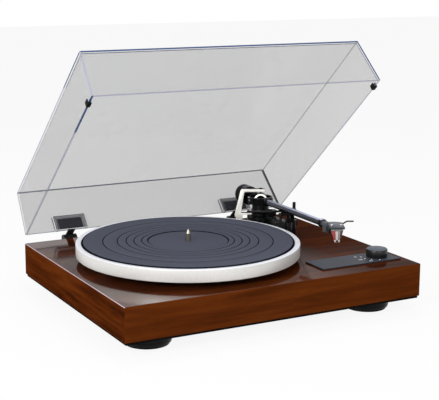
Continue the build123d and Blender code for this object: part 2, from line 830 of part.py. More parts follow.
dial_bore_bottom = beam_top - dial_pin_depth - part_clearance
arm_base -= cylinder_between(dial_pin_radius + shaft_clearance, dial_bore_bottom, beam_top, dial_x, dial_y)
save("arm_base", arm_base)
nut_shape = RegularPolygon(nut_radius, 6) - Circle(stud_radius)
save("arm_base_nut", Pos(pivot_x, pivot_y, deck_under - nut_height) * extrude(nut_shape, nut_height))

# Bearing frame: a C that stands across the arm's way in mid play, clamped round the neck
leg_top = column_top + frame_clamp_height - pivot_z
frame_points = [
    (frame_beam_end, frame_rise + frame_beam), (-frame_outer_left, frame_rise + frame_beam),
    (-frame_outer_foot, -frame_knee), (-frame_foot_left, -frame_drop), (-frame_foot_right, -frame_drop),
    (-frame_foot_right, leg_top - frame_leg), (-clamp_bore, leg_top - frame_leg), (-clamp_bore, leg_top),
    (-frame_foot_right, leg_top), (-frame_inner_foot, -frame_inner_knee),
    (-frame_inner_left, frame_rise), (frame_beam_end, frame_rise),
]
frame_face = make_face(Polyline(*[(x, 0, z) for x, z in frame_points], close=True))
arm_frame = extrude(frame_face, frame_depth / 2, dir=(0, 1, 0), both=True)
arm_frame = fillet(arm_frame.edges().filter_by(Axis.Y).sort_by(Axis.X)[2:4].sort_by(Axis.Z)[-1], frame_corner)
arm_frame = Pos(pivot_x, pivot_y, pivot_z) * Rot(Z=-frame_turn) * arm_frame
arm_frame += cylinder_between(clamp_radius, column_top, column_top + frame_clamp_height, pivot_x, pivot_y)
arm_frame -= cylinder_between(clamp_bore, column_top, column_top + frame_clamp_height, pivot_x, pivot_y)
beam_under = pivot_z + frame_rise
beam_over = beam_under + frame_beam
arm_frame -= cylinder_between(pivot_screw_radius, beam_under, beam_over, pivot_x, pivot_y)
save("arm_frame", arm_frame)
block_over = pivot_z + block_radius
tip_bottom = block_over - block_cup_depth + pivot_play
screw_top = beam_over + pivot_screw_stand
pivot_screw = cylinder_between(pivot_screw_radius, beam_under, screw_top, pivot_x, pivot_y)
pivot_screw += cylinder_between(pivot_pin_radius, tip_bottom, beam_under, pivot_x, pivot_y)
save("pivot_screw", pivot_screw)

# Bearing block. X runs from the pivot along the arm and Y to the arm's right
swing_place = Pos(pivot_x, pivot_y, pivot_z) * Rot(Z=-90 - arm_park_angle)
arm_place = swing_place * Rot(Y=-arm_park_pitch)
pivot_hole = pivot_pin_radius + shaft_clearance
block = along_x(block_radius, -block_length / 2, block_length / 2)
block = chamfer(block.edges().filter_by(GeomType.CIRCLE), block_chamfer)
block -= box_between(-block_length, block_length, -block_radius, block_radius, -block_radius, -block_bottom)
block -= cylinder_between(pivot_hole, -block_bottom, -block_bottom + block_cup_depth)
block -= cylinder_between(pivot_hole, block_radius - block_cup_depth, block_radius)
block = Rot(Z=arm_park_angle - frame_turn) * block
side_hole = side_pivot_radius + shaft_clearance
for side in (-1, 1):
    hole = (side * (block_radius - side_pivot_reach), side * (block_radius + side_pivot_reach))
    block -= along_y(side_hole, min(hole), max(hole))
save("bearing_block", swing_place * block)

# Ring that carries the arm round the block, with its side pivots
ring = cylinder_between(ring_outer, -ring_height / 2, ring_height / 2)
ring = chamfer(ring.edges().sort_by(Axis.Z)[-1], ring_chamfer)
boss_end = ring_outer + boss_length
ring += along_x(boss_radius, -boss_end, boss_end)
ring -= cylinder_between(ring_inner, -boss_radius, boss_radius)
tube_start = boss_end - boss_depth
ring -= along_x(tube_radius, tube_start, boss_end)
ring -= along_x(rear_shaft_radius, -boss_end, -tube_start)
side_pivots = []
for side in (-1, 1):
    inner = side * (block_radius - side_pivot_reach + pivot_play)
    outer = side * ring_outer
    head = side * (ring_outer + side_pivot_head_height)
    ring -= along_y(side_pivot_radius, min(inner, outer), max(inner, outer))
    screw = along_y(side_pivot_radius, min(inner, outer), max(inner, outer))
    side_pivots.append(screw + along_y(side_pivot_head, min(outer, head), max(outer, head)))
save("gimbal_ring", arm_place * ring)
save("side_pivots", arm_place * group(side_pivots))

# Arm tube and the locking collar that holds the headshell
arm_tube = along_x(tube_radius, tube_start, tube_end) - along_x(tube_bore, tube_start, tube_end)
save("arm_tube", arm_place * arm_tube)
collar_start = tube_end - collar_back
collar = along_x(collar_radius, collar_start, collar_start + collar_length)
collar = chamfer(collar.edges().filter_by(GeomType.CIRCLE), collar_chamfer)
collar -= along_x(tube_radius + shaft_clearance, collar_start, collar_start + collar_length)
save("lock_collar", arm_place * collar)

# Headshell: neck and offset plate, with X forward along the cartridge and Y to its right
offset = math.radians(head_offset)
plate_bottom_z = head_plate_top - head_plate
head_place = Pos(head_screw_s, head_screw_t, 0) * Rot(Z=-head_offset)


# A place in the plate's own directions, given along and across the arm
def on_arm(forward, right):
    along = head_screw_s + forward * math.cos(offset) + right * math.sin(offset)
    across = head_screw_t - forward * math.sin(offset) + right * math.cos(offset)
    return along, across


plate_outline = [
    (neck_plate, -tube_radius), (head_left_join, -tube_radius), on_arm(head_front, -head_left),
    on_arm(head_front, head_right), on_arm(-head_back, head_right), (head_shoulder_s, head_shoulder_t),
    (neck_plate, tube_radius),
]
plate = Pos(0, 0, plate_bottom_z) * extrude(make_face(Polyline(*plate_outline, close=True)), head_plate)
front_corners = plate.edges().filter_by(Axis.Z).sort_by(Axis.X)[-2:]
plate = fillet(front_corners, head_corner)
headshell = plate + along_x(tube_radius, neck_start, neck_end)
headshell += box_between(head_block_start, head_block_end, -tube_radius, 0, -head_block_drop, plate_bottom_z)
screw_sides = [side * head_screw_spacing / 2 for side in (-1, 1)]
cartridge_screw_hole = head_screw_radius + shaft_clearance
for y in screw_sides:
    headshell -= head_place * cylinder_between(cartridge_screw_hole, plate_bottom_z, head_plate_top, 0, y)
save("headshell", arm_place * headshell)
lift_low = head_plate_top - lift_thickness
lift_points = [
    (head_right, lift_low), (head_right + lift_bend, lift_low + lift_rise),
    (head_right + lift_reach, lift_low + lift_rise),
]
lift_back = [(y, z + lift_thickness) for y, z in reversed(lift_points)]
lift_face = make_face(Polyline(*[(0, y, z) for y, z in lift_points + lift_back], close=True))
finger_lift = Pos(-lift_root, 0, 0) * extrude(lift_face, lift_width / 2, dir=(1, 0, 0), both=True)
save("finger_lift", arm_place * head_place * finger_lift)


# A tapering block that hangs from the plate, between two places along the cartridge
def hanging(start, end, top_half, shoulder, low_half, depth):
    outline = [(-top_half, 0), (-top_half, -shoulder), (-low_half, -depth)]
    outline += [(-y, z) for y, z in reversed(outline)]
    face = make_face(Polyline(*[(start, y, plate_bottom_z + z) for y, z in outline], close=True))
    return extrude(face, end - start, dir=(1, 0, 0))


# Cartridge, its screws and its stylus
cartridge_low = cartridge_half_width - cartridge_taper
cartridge = hanging(
    -cartridge_back, cartridge_front, cartridge_half_width, cartridge_shoulder, cartridge_low, cartridge_height,
)
cartridge_screws = []
screw_bottom = head_plate_top - head_screw_length
for y in screw_sides:
    cartridge -= cylinder_between(cartridge_screw_hole, screw_bottom - part_clearance, plate_bottom_z, 0, y)
    screw = cylinder_between(head_screw_radius, screw_bottom, head_plate_top, 0, y)
    head_end = head_plate_top + head_screw_head_height
    cartridge_screws.append(screw + cylinder_between(head_screw_head, head_plate_top, head_end, 0, y))
save("cartridge", arm_place * head_place * cartridge)
save("cartridge_screws", arm_place * head_place * group(cartridge_screws))
stylus = hanging(
    cartridge_front, stylus_front, stylus_half_top, stylus_shoulder, stylus_half_bottom, stylus_height,
)
stylus_low = plate_bottom_z - stylus_height
stylus_tip = Pos(stylus_tip_ahead, 0, stylus_low - stylus_tip_length / 2)
stylus += stylus_tip * Cone(stylus_tip_radius / 4, stylus_tip_radius, stylus_tip_length)
save("stylus", arm_place * head_place * stylus)

# Counterweight on its shaft, with the threaded hub inside
save("weight_shaft", arm_place * along_x(rear_shaft_radius, -rear_shaft_end, -tube_start))
weight_back = weight_front + weight_length
hub_start = weight_front + (weight_length - hub_length) / 2
hub = along_x(hub_radius, -hub_start - hub_length, -hub_start)
hub -= along_x(rear_shaft_radius + shaft_clearance, -hub_start - hub_length, -hub_start)
save("weight_hub", arm_place * hub)
weight = along_x(weight_radius, -weight_back, -weight_front)
weight = chamfer(weight.edges().filter_by(GeomType.CIRCLE), weight_chamfer)
weight -= along_x(hub_radius + shaft_clearance, -weight_back, -weight_front)
save("counterweight", arm_place * weight)

# Anti-skating dial on the beam
dial_bottom = beam_top + part_clearance
dial = cylinder_between(dial_radius, dial_bottom, dial_bottom + dial_height, dial_x, dial_y)
dial = chamfer(dial.edges().sort_by(Axis.Z)[-1], dial_chamfer)
dial += cylinder_between(dial_pin_radius, beam_top - dial_pin_depth, dial_bottom, dial_x, dial_y)
save("antiskate_dial", dial)


# Height of the tube's underside above the pivot, at a distance along the arm
def tube_under(distance):
    return distance * math.tan(math.radians(arm_park_pitch)) - tube_radius


# A point of the deck in the directions of the parked arm
def from_pivot(x, y):
    park = math.radians(arm_park_angle)
    along = -(x - pivot_x) * math.sin(park) - (y - pivot_y) * math.cos(park)
    across = (x - pivot_x) * math.cos(park) - (y - pivot_y) * math.sin(park)
    return along, across


# Arm rest on the end of the beam, with a clip hinged at its open side
rest_s, post_t = from_pivot(beam_end_x, beam_end_y)
shelf_top = tube_under(rest_s) - part_clearance
shelf_bottom = shelf_top - rest_shelf
rest_wall_start = tube_radius + part_clearance
rest_right = rest_wall_start + rest_wall
ear_near = clip_half_width + shaft_clearance
ear_far = ear_near + clip_ear
clip_axis_z = shelf_top - clip_axis_drop
rest_foot = (beam_top - pivot_z, beam_top - pivot_z + rest_foot_height)
rest_half = rest_foot_width / 2
rest = box_between(rest_s - rest_half, rest_s + rest_half, post_t - rest_half, post_t + rest_half, *rest_foot)
rest += cylinder_between(rest_post_radius, rest_foot[0], shelf_bottom, rest_s, post_t)
rest += box_between(rest_s - ear_far, rest_s + ear_far, -rest_left, rest_right, shelf_bottom, shelf_top)
wall_top = shelf_top + rest_wall_height
rest += box_between(rest_s - ear_far, rest_s + ear_far, rest_wall_start, rest_right, shelf_top, wall_top)
for near, far in ((rest_s - ear_far, rest_s - ear_near), (rest_s + ear_near, rest_s + ear_far)):
    rest += along_x(clip_knuckle_radius, near, far, -clip_axis_t, clip_axis_z)
    ear = (clip_axis_z - clip_knuckle_radius, clip_axis_z + clip_knuckle_radius)
    rest += box_between(near, far, -clip_axis_t, -rest_left, *ear)
rest += along_x(clip_pin_radius, rest_s - ear_near, rest_s + ear_near, -clip_axis_t, clip_axis_z)
save("arm_rest", swing_place * rest)
clip_ends = (rest_s - clip_half_width, rest_s + clip_half_width)
clip_outer = -clip_axis_t - clip_knuckle_radius
hook_low = tube_under(rest_s) + 2 * tube_radius + part_clearance
clip = along_x(clip_knuckle_radius, *clip_ends, -clip_axis_t, clip_axis_z)
clip += box_between(*clip_ends, clip_outer, clip_outer + clip_thickness, clip_axis_z, hook_low)
clip += box_between(*clip_ends, clip_outer, clip_outer + clip_hook, hook_low, hook_low + clip_thickness)
clip -= along_x(clip_pin_radius + shaft_clearance, *clip_ends, -clip_axis_t, clip_axis_z)
clip_open = Pos(0, -clip_axis_t, clip_axis_z) * Rot(X=clip_open_angle) * Pos(0, clip_axis_t, -clip_axis_z)
save("rest_clip", swing_place * clip_open * clip)

# Arm lift: cylinder with the lever's bracket, then the piston with its curved bar
lift_s, lift_t = from_pivot(lift_x, lift_y)
lift_radius = math.hypot(lift_s, lift_t)
cylinder_top = deck_top + lift_cylinder_height
lift_cylinder = cylinder_between(lift_cylinder_radius, deck_top, cylinder_top, lift_x, lift_y)
lift_cylinder = chamfer(lift_cylinder.edges().sort_by(Axis.Z)[-1], lift_cylinder_chamfer)
bracket_left = lift_x + bracket_gap
bracket_right = bracket_left + bracket_wall
lever_axis_z = deck_top + lever_z
bracket_y = (lever_y - bracket_depth / 2, lever_y + bracket_depth / 2)
bracket_low = cylinder_top - bracket_foot
bracket_high = lever_axis_z + bracket_above
bracket_step = (bracket_low, cylinder_top - lift_cylinder_chamfer)
bracket_front = lift_y - bracket_wall
lift_cylinder += box_between(lift_x, bracket_right, bracket_front, lift_y + bracket_wall, *bracket_step)
lift_cylinder += box_between(bracket_left, bracket_right, bracket_front, bracket_y[1], *bracket_step)
lift_cylinder += box_between(bracket_left, bracket_right, *bracket_y, bracket_low, bracket_high)
piston_hole = piston_radius + shaft_clearance
piston_hole_bottom = cylinder_top - piston_depth - lift_travel - part_clearance
lift_cylinder -= cylinder_between(piston_hole, piston_hole_bottom, cylinder_top, lift_x, lift_y)
lever_hole = lever_pin_radius + shaft_clearance
lift_cylinder -= along_x(lever_hole, bracket_left, bracket_right, lever_y, lever_axis_z)
save("lift_cylinder", lift_cylinder)
bar_top = tube_under(lift_radius) - part_clearance
bar_bottom = bar_top - lift_bar_thickness
bar_from = -math.atan2(lift_t, lift_s)
bar_to = math.radians(lift_bar_reach)
half_bar = lift_bar_width / 2
bar = Circle(lift_radius + half_bar) - Circle(lift_radius - half_bar)
bar_turns = (bar_from, (bar_from + bar_to) / 2, bar_to)
sector = [(2 * lift_radius * math.cos(turn), -2 * lift_radius * math.sin(turn)) for turn in bar_turns]
bar &= make_face(Polyline((0, 0), *sector, close=True))
bar += Pos(lift_s, lift_t) * Circle(lift_bar_hub)
lift_bar = Pos(0, 0, bar_bottom) * extrude(bar, lift_bar_thickness)
piston_bottom = cylinder_top - piston_depth - pivot_z
lift_bar += cylinder_between(piston_radius, piston_bottom, bar_bottom, lift_s, lift_t)
save("lift_bar", swing_place * lift_bar)

# Cue lever on its pin through the bracket
lever_left = bracket_right + part_clearance
lever_right = lever_left + lever_hub_width
lever = along_x(lever_hub_radius, lever_left, lever_right, lever_y, lever_axis_z)
blade_y = (lever_y - lever_blade / 2, lever_y + lever_blade / 2)
lever += box_between(lever_left, lever_right, *blade_y, lever_axis_z, lever_axis_z + lever_length)
lever += along_x(lever_pin_radius, bracket_left, lever_left, lever_y, lever_axis_z)
save("cue_lever", lever)
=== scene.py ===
import bpy, bmesh, json
from math import radians, sin, cos, pi, hypot
from mathutils import Matrix, Vector


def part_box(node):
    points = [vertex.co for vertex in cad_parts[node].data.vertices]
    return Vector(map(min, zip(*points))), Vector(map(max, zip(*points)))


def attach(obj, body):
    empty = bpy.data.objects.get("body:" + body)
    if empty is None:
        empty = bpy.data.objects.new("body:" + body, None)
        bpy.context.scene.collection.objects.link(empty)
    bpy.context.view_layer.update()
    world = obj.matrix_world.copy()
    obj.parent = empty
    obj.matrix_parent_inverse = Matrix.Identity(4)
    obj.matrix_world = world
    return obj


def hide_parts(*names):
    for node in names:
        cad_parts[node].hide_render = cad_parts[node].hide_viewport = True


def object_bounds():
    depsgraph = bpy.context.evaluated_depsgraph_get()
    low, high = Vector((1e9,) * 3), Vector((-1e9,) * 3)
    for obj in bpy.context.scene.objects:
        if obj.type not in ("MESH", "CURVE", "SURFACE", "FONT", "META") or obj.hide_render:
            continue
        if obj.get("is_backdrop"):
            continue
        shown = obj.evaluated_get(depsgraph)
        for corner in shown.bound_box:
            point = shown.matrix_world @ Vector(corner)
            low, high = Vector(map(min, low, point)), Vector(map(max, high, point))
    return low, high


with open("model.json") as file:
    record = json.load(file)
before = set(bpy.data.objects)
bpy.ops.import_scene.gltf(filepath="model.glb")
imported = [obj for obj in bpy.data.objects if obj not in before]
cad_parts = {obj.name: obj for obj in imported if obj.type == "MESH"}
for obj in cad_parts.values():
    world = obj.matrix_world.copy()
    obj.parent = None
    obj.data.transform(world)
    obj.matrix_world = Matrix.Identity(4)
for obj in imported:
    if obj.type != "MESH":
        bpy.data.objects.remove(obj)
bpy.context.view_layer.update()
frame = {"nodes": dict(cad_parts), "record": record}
nodes = frame["nodes"]
joints = {joint["name"]: joint for joint in frame["record"]["behaviour"]["joints"]}
scene = bpy.context.scene
scene.view_settings.view_transform = "Standard"
print("frame loaded")

# most values of a noise texture lie between these two
noiseLow, noiseHigh = 0.3, 0.7


# helpers for node trees
def addNode(tree, kind, **values):
    node = tree.nodes.new("ShaderNode" + kind)
    for key, value in values.items():
        if key in node.inputs:
            node.inputs[key].default_value = value
        else:
            setattr(node, key, value)
    return node


def startMaterial(name, colour, roughness, metallic=0.0, specular=0.5, **sockets):
    material = bpy.data.materials.new(name)
    material.use_nodes = True
    tree = material.node_tree
    shader = tree.nodes["Principled BSDF"]
    sockets |= {"Base_Color": (*colour, 1), "Roughness": roughness, "Metallic": metallic}
    sockets["Specular_IOR_Level"] = specular
    for key, value in sockets.items():
        shader.inputs[key.replace("_", " ")].default_value = value
    return tree, shader


def objectPlace(tree):
    return addNode(tree, "TexCoord").outputs["Object"]


def stretched(tree, scale):
    mapping = addNode(tree, "Mapping", Scale=scale)
    tree.links.new(objectPlace(tree), mapping.inputs["Vector"])
    return mapping.outputs["Vector"]


def partsOf(tree, vector):
    split = addNode(tree, "SeparateXYZ")
    tree.links.new(vector, split.inputs[0])
    return split.outputs


def noiseOn(tree, vector, scale, detail=3.0, roughness=0.55, distortion=0.0):
    noise = addNode(tree, "TexNoise", Scale=scale, Detail=detail, Roughness=roughness, Distortion=distortion)
    tree.links.new(vector, noise.inputs["Vector"])
    return noise.outputs["Fac"]


def spread(tree, value, low, high, newLow, newHigh):
    ranged = addNode(tree, "MapRange")
    for key, number in (("From Min", low), ("From Max", high), ("To Min", newLow), ("To Max", newHigh)):
        ranged.inputs[key].default_value = number
    tree.links.new(value, ranged.inputs["Value"])
    return ranged.outputs["Result"]


def combine(tree, operation, *values):
    node = addNode(tree, "Math", operation=operation)
    for socket, value in zip(node.inputs, values):
        if isinstance(value, bpy.types.NodeSocket):
            tree.links.new(value, socket)
        else:
            socket.default_value = value
    return node.outputs[0]


def ramp(tree, value, stops):
    colours = addNode(tree, "ValToRGB")
    elements = colours.color_ramp.elements
    while len(elements) < len(stops):
        elements.new(0.5)
    for element, (place, colour) in zip(elements, stops):
        element.position = place
        element.color = (*colour, 1)
    tree.links.new(value, colours.inputs["Fac"])
    return colours.outputs["Color"]


def mixColours(tree, share, first, second):
    mix = addNode(tree, "Mix", data_type="RGBA")
    for key, value in ((0, share), (6, first), (7, second)):
        if isinstance(value, bpy.types.NodeSocket):
            tree.links.new(value, mix.inputs[key])
        else:
            mix.inputs[key].default_value = value if key == 0 else (*value, 1)
    return mix.outputs[2]


def bumpFrom(tree, shader, height, strength, distance):
    bump = addNode(tree, "Bump", Strength=strength, Distance=distance)
    tree.links.new(height, bump.inputs["Height"])
    tree.links.new(bump.outputs["Normal"], shader.inputs["Normal"])


def shade(colour, factor):
    return tuple(min(1, part * factor) for part in colour)


def tint(tree, shader, noise, dark, light):
    colour = ramp(tree, noise, ((noiseLow, dark), (noiseHigh, light)))
    tree.links.new(colour, shader.inputs["Base Color"])


def varyRoughness(tree, shader, noise, low, high):
    varied = spread(tree, noise, noiseLow, noiseHigh, low, min(1, high))
    tree.links.new(varied, shader.inputs["Roughness"])


# a plain finish with fine mottling in tone, roughness and height
def finish(name, colour, roughness, metallic=0.0, tone=0.15, grain=900, relief=0.02, **sockets):
    tree, shader = startMaterial(name, colour, roughness, metallic, **sockets)
    fine = noiseOn(tree, objectPlace(tree), grain, 2)
    broad = noiseOn(tree, objectPlace(tree), grain / 30, 3)
    tint(tree, shader, broad, shade(colour, 1 - tone), shade(colour, 1 + tone))
    varyRoughness(tree, shader, fine, roughness * 0.85, roughness * 1.2)
    if relief:
        bumpFrom(tree, shader, fine, relief, 0.0003)


# noises have a scale, a detail, a roughness and a distortion
walnut = {
    "tones": ((0.016, 0.004, 0.0014), (0.046, 0.0095, 0.0022), (0.084, 0.0175, 0.0032),
              (0.135, 0.032, 0.0055)),
    "stops": (0.38, 0.455, 0.53, 0.66), "figure": (2.3, 4, 0.55, 1.6), "figureShare": 0.6,
    "streaks": (8, 8, 0.62, 0.5), "streakShare": 0.42, "pores": (55, 3, 0.6),
    "poreRange": (0.58, 0.75, 0, 0.5), "relief": 0.015, "reliefDepth": 0.0004,
    "deckPaintedShadeTone": (0.050, 0.011, 0.0030), "deckPaintedShadeShare": 0.5,
    "frontTone": (0.088, 0.020, 0.0034), "frontStain": 0.55, "gloss": 0.09, "nearFront": (-0.14, -0.05, 1, 0),
    "coatAcross": (-0.1, 0.14, 0.66, 0.02), "nearAcross": (-0.1, 0.06, 0.40, 0.12),
}


# the lacquer shines most on the left and near the front
def lacquer(tree, shader):
    place = partsOf(tree, objectPlace(tree))
    coat = spread(tree, place["X"], *walnut["coatAcross"])
    atFront = spread(tree, place["Y"], *walnut["nearFront"])
    nearCoat = spread(tree, place["X"], *walnut["nearAcross"])
    tree.links.new(combine(tree, "MULTIPLY_ADD", atFront, nearCoat, coat), shader.inputs["Coat Weight"])
    shader.inputs["Coat Roughness"].default_value = walnut["gloss"]


# the grain runs along the front and the deck, and along the depth on both sides
def makeWalnut(name, stretch, stain, tone, isDeck=False):
    dark, _, middle, _ = walnut["tones"]
    tree, shader = startMaterial(name, middle, 0.5, specular=0.0)
    vector = stretched(tree, stretch)
    figure = combine(tree, "MULTIPLY", noiseOn(tree, vector, *walnut["figure"]), walnut["figureShare"])
    streaks = noiseOn(tree, vector, *walnut["streaks"])
    pores = noiseOn(tree, vector, *walnut["pores"])
    blend = combine(tree, "MULTIPLY_ADD", streaks, walnut["streakShare"], figure)
    wood = mixColours(tree, stain, ramp(tree, blend, tuple(zip(walnut["stops"], walnut["tones"]))), tone)
    wood = mixColours(tree, spread(tree, pores, *walnut["poreRange"]), wood, dark)
    tree.links.new(wood, shader.inputs["Base Color"])
    if isDeck:
        lacquer(tree, shader)
    bumpFrom(tree, shader, streaks, walnut["relief"], walnut["reliefDepth"])


# clear plastic with a faint haze
def makeAcrylic(name, colour, alpha, roughness=0.2, **sockets):
    tree, shader = startMaterial(name, colour, roughness, **sockets)
    shader.inputs["Alpha"].default_value = alpha
    haze = noiseOn(tree, objectPlace(tree), 18, 2)
    varyRoughness(tree, shader, haze, roughness * 0.6, roughness * 1.6)
    tint(tree, shader, haze, shade(colour, 0.96), colour)


# fine concentric tool marks round an upright axis
def makeTurned(name, colour, roughness, metallic, centre, rings, tone=0.06, marking=0.03, **sockets):
    tree, shader = startMaterial(name, colour, roughness, metallic, **sockets)
    mapping = addNode(tree, "Mapping", Location=(-centre[0], -centre[1], 0))
    tree.links.new(objectPlace(tree), mapping.inputs["Vector"])
    flat = addNode(tree, "VectorMath", operation="MULTIPLY")
    flat.inputs[1].default_value = (1, 1, 0)
    tree.links.new(mapping.outputs["Vector"], flat.inputs[0])
    length = addNode(tree, "VectorMath", operation="LENGTH")
    tree.links.new(flat.outputs["Vector"], length.inputs[0])
    joined = addNode(tree, "CombineXYZ")
    tree.links.new(length.outputs["Value"], joined.inputs["X"])
    tree.links.new(partsOf(tree, mapping.outputs["Vector"])["Z"], joined.inputs["Z"])
    marks = noiseOn(tree, joined.outputs[0], rings, 2)
    speckle = noiseOn(tree, objectPlace(tree), 1400, 2)
    tint(tree, shader, speckle, shade(colour, 1 - tone), colour)
    varyRoughness(tree, shader, marks, roughness * 0.85, roughness * 1.15)
    bumpFrom(tree, shader, marks, marking, 0.0002)


# a painted highlight on a satin finish, lighter from one depth to another
def makeAlongArm(name, dark, light, start, end):
    tree, shader = startMaterial(name, light, 0.35, specular=0.2)
    along = spread(tree, partsOf(tree, objectPlace(tree))["Y"], start, end, 0, 1)
    fine = noiseOn(tree, objectPlace(tree), 900, 2)
    blend = combine(tree, "MULTIPLY_ADD", fine, 0.1, along)
    tree.links.new(ramp(tree, blend, ((0.0, dark), (1.0, light))), shader.inputs["Base Color"])


def middleOf(name):
    low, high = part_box(name)
    return (Vector(low) + Vector(high)) / 2


def heightsOf(name):
    low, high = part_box(name)
    return low[2], high[2]


def grey(tone):
    return (tone, tone, tone)


# finishes, found again by their names
spindleAxis = middleOf("platter").xy
knobAxis = middleOf("speed_knob").xy
# the deck is mixed with a darker tone than the front and sides, as painted shade
makeWalnut("walnutDeck", (1.0, 8, 16), walnut["deckPaintedShadeShare"], walnut["deckPaintedShadeTone"], True)
makeWalnut("walnutFront", (1.6, 8, 22), walnut["frontStain"], walnut["frontTone"])
makeWalnut("walnutSide", (8, 1.5, 18), walnut["frontStain"] / 2, walnut["frontTone"])
finish("edgeLacquer", (0.40, 0.31, 0.34), 0.4, grain=700)
finish("blackFibreboard", grey(0.004), 0.75, grain=500, relief=0.08, specular=0.03)
finish("footPlastic", grey(0.005), 0.28, grain=700, specular=0.12)
finish("padRubber", grey(0.005), 0.6, relief=0.05, specular=0.1)
finish("blackenedSteel", (0.008, 0.008, 0.009), 0.4, metallic=0.2, grain=1200, specular=0.15)
finish("boardResin", (0.02, 0.09, 0.035), 0.45, grain=300)
finish("goldPlating", (0.85, 0.62, 0.25), 0.25, metallic=1, grain=1200)
finish("machinedSteel", (0.56, 0.55, 0.54), 0.14, metallic=1, grain=1500, tone=0.08)
finish("mouldedPlastic", (0.03, 0.03, 0.032), 0.5, grain=700)
finish("zincPlate", (0.55, 0.56, 0.58), 0.36, metallic=1, grain=400)
finish("panelSlate", (0.041, 0.047, 0.064), 0.45, grain=1500, tone=0.1, relief=0.04, specular=0.08)
finish("panelEdge", (0.012, 0.013, 0.015), 0.4, grain=1500)
# white print for the panel's numbers and dots, also used as a painted highlight line on the dial
finish("printedMarks", (0.86, 0.86, 0.88), 0.6, relief=0.0, grain=2500)
makeTurned("knobFace", (0.105, 0.118, 0.148), 0.42, 0.1, knobAxis, 1800, specular=0.08)
finish("knobSkirt", (0.010, 0.011, 0.010), 0.3, grain=1200, specular=0.3)
makeTurned("platterAlloy", (0.72, 0.705, 0.68), 0.38, 0.25, spindleAxis, 900, 0.2)
# the platter's upper rim: a lighter, bluer copy of the alloy as a painted highlight
makeTurned("platterTop", (0.88, 0.90, 0.97), 0.4, 0.15, spindleAxis, 900, 0.03, 0.01)
finish("spindleSteel", (0.30, 0.27, 0.22), 0.3, metallic=0.9, grain=1500, tone=0.2)
finish("spindleShade", (0.035, 0.032, 0.030), 0.4, metallic=0.4, grain=1500)
makeTurned("slateRubber", (0.088, 0.096, 0.128), 0.62, 0, spindleAxis, 1500, 0.12, specular=0.02)
makeTurned("grooveShade", (0.008, 0.009, 0.013), 0.8, 0, spindleAxis, 1500, 0.12, specular=0.0)
makeAcrylic("clearAcrylic", grey(0.30), 0.26)
makeAcrylic("clearAcrylicBack", grey(0.30), 0.36)
makeAcrylic("clearAcrylicWall", grey(0.30), 0.05)
# painted shade and a painted lilac sheen for the lid's edges and rim
makeAcrylic("polishedEdge", (0.045, 0.065, 0.12), 0.88, specular=0.0)
makeAcrylic("navyEdge", (0.022, 0.056, 0.17), 0.92, specular=0.0)
makeAcrylic("darkEdge", (0.004, 0.006, 0.012), 0.98, specular=0.0)
makeAcrylic("greyEdge", (0.16, 0.17, 0.21), 0.5, specular=0.0)
makeAcrylic("sawnRim", (0.30, 0.31, 0.44), 0.6, specular=0.0)
makeAcrylic("cornerGlint", (0.86, 0.87, 0.92), 0.8)
makeAcrylic("pocketWall", (0.04, 0.04, 0.05), 0.5, specular=0.1)
finish("hingePlastic", grey(0.012), 0.5, grain=420, relief=0.25, tone=0.4, specular=0.08)
finish("glossBlackPaint", (0.003, 0.003, 0.0035), 0.26, grain=400, relief=0.01, specular=0.12)
finish("satinBlackPaint", (0.004, 0.004, 0.0045), 0.34, grain=1200, specular=0.12)
finish("paintHighlight", (0.050, 0.055, 0.085), 0.3, grain=700, specular=0.2)
finish("ringHighlight", (0.58, 0.60, 0.72), 0.4, grain=700)
finish("creamPolish", (1.0, 0.97, 0.90), 0.4, metallic=0.4, grain=500, tone=0.03, relief=0.01)
finish("darkTube", (0.006, 0.006, 0.009), 0.24, relief=0.01, specular=0.9, Specular_Tint=(0.75, 0.8, 1, 1))
makeAlongArm("tubeUpperSide", (0.18, 0.195, 0.26), (0.50, 0.53, 0.70), 0.05, -0.12)
finish("shellGrey", (0.062, 0.070, 0.098), 0.35, grain=1500, tone=0.08, specular=0.15)
finish("shellEdge", (0.014, 0.014, 0.016), 0.35, grain=1200)
finish("blockGrey", (0.070, 0.068, 0.064), 0.45, grain=1500, tone=0.2, relief=0.06)
finish("brightScrew", (0.78, 0.76, 0.72), 0.16, metallic=1, grain=600, relief=0.01)
finish("cartridgeBlack", (0.008, 0.008, 0.009), 0.22, grain=500, relief=0.01)
makeAcrylic("stylusRed", (0.36, 0.040, 0.042), 0.9, 0.14)
makeAcrylic("stylusDarkRed", (0.085, 0.012, 0.014), 0.94, 0.16)
makeAcrylic("stylusClear", (0.56, 0.47, 0.45), 0.9, 0.12)
finish("stylusBand", (0.20, 0.22, 0.22), 0.4)

# solids that keep their CAD shape and get a procedural finish
nodeFinishes = {
    "blackFibreboard": "bottom_cover",
    "padRubber": "foot_pads drive_belt",
    "blackenedSteel": "foot_screws cover_screws back_screws deck_screws hinge_pins",
    "boardResin": "circuit_board",
    "goldPlating": "phono_sockets",
    "machinedSteel": "main_bearing arm_base_nut knob_shaft weight_shaft",
    "mouldedPlastic": "speed_switch drive_platter drive_pulley",
    "zincPlate": "motor",
    "satinBlackPaint": "weight_hub",
}
for key, names in nodeFinishes.items():
    for name in names.split():
        for materialSlot in nodes[name].material_slots:
            materialSlot.material = bpy.data.materials[key]
print("finishes made")


# helpers for shapes
def at(x, y, z=0):
    return Matrix.Translation((x, y, z))


def turned(axis, degrees):
    return Matrix.Rotation(radians(degrees), 4, axis)


def weld(bm):
    bmesh.ops.remove_doubles(bm, verts=bm.verts, dist=0.000002)


def put(bm, place):
    bmesh.ops.transform(bm, matrix=place, verts=bm.verts)


def everything(bm):
    return bm.verts[:] + bm.edges[:] + bm.faces[:]


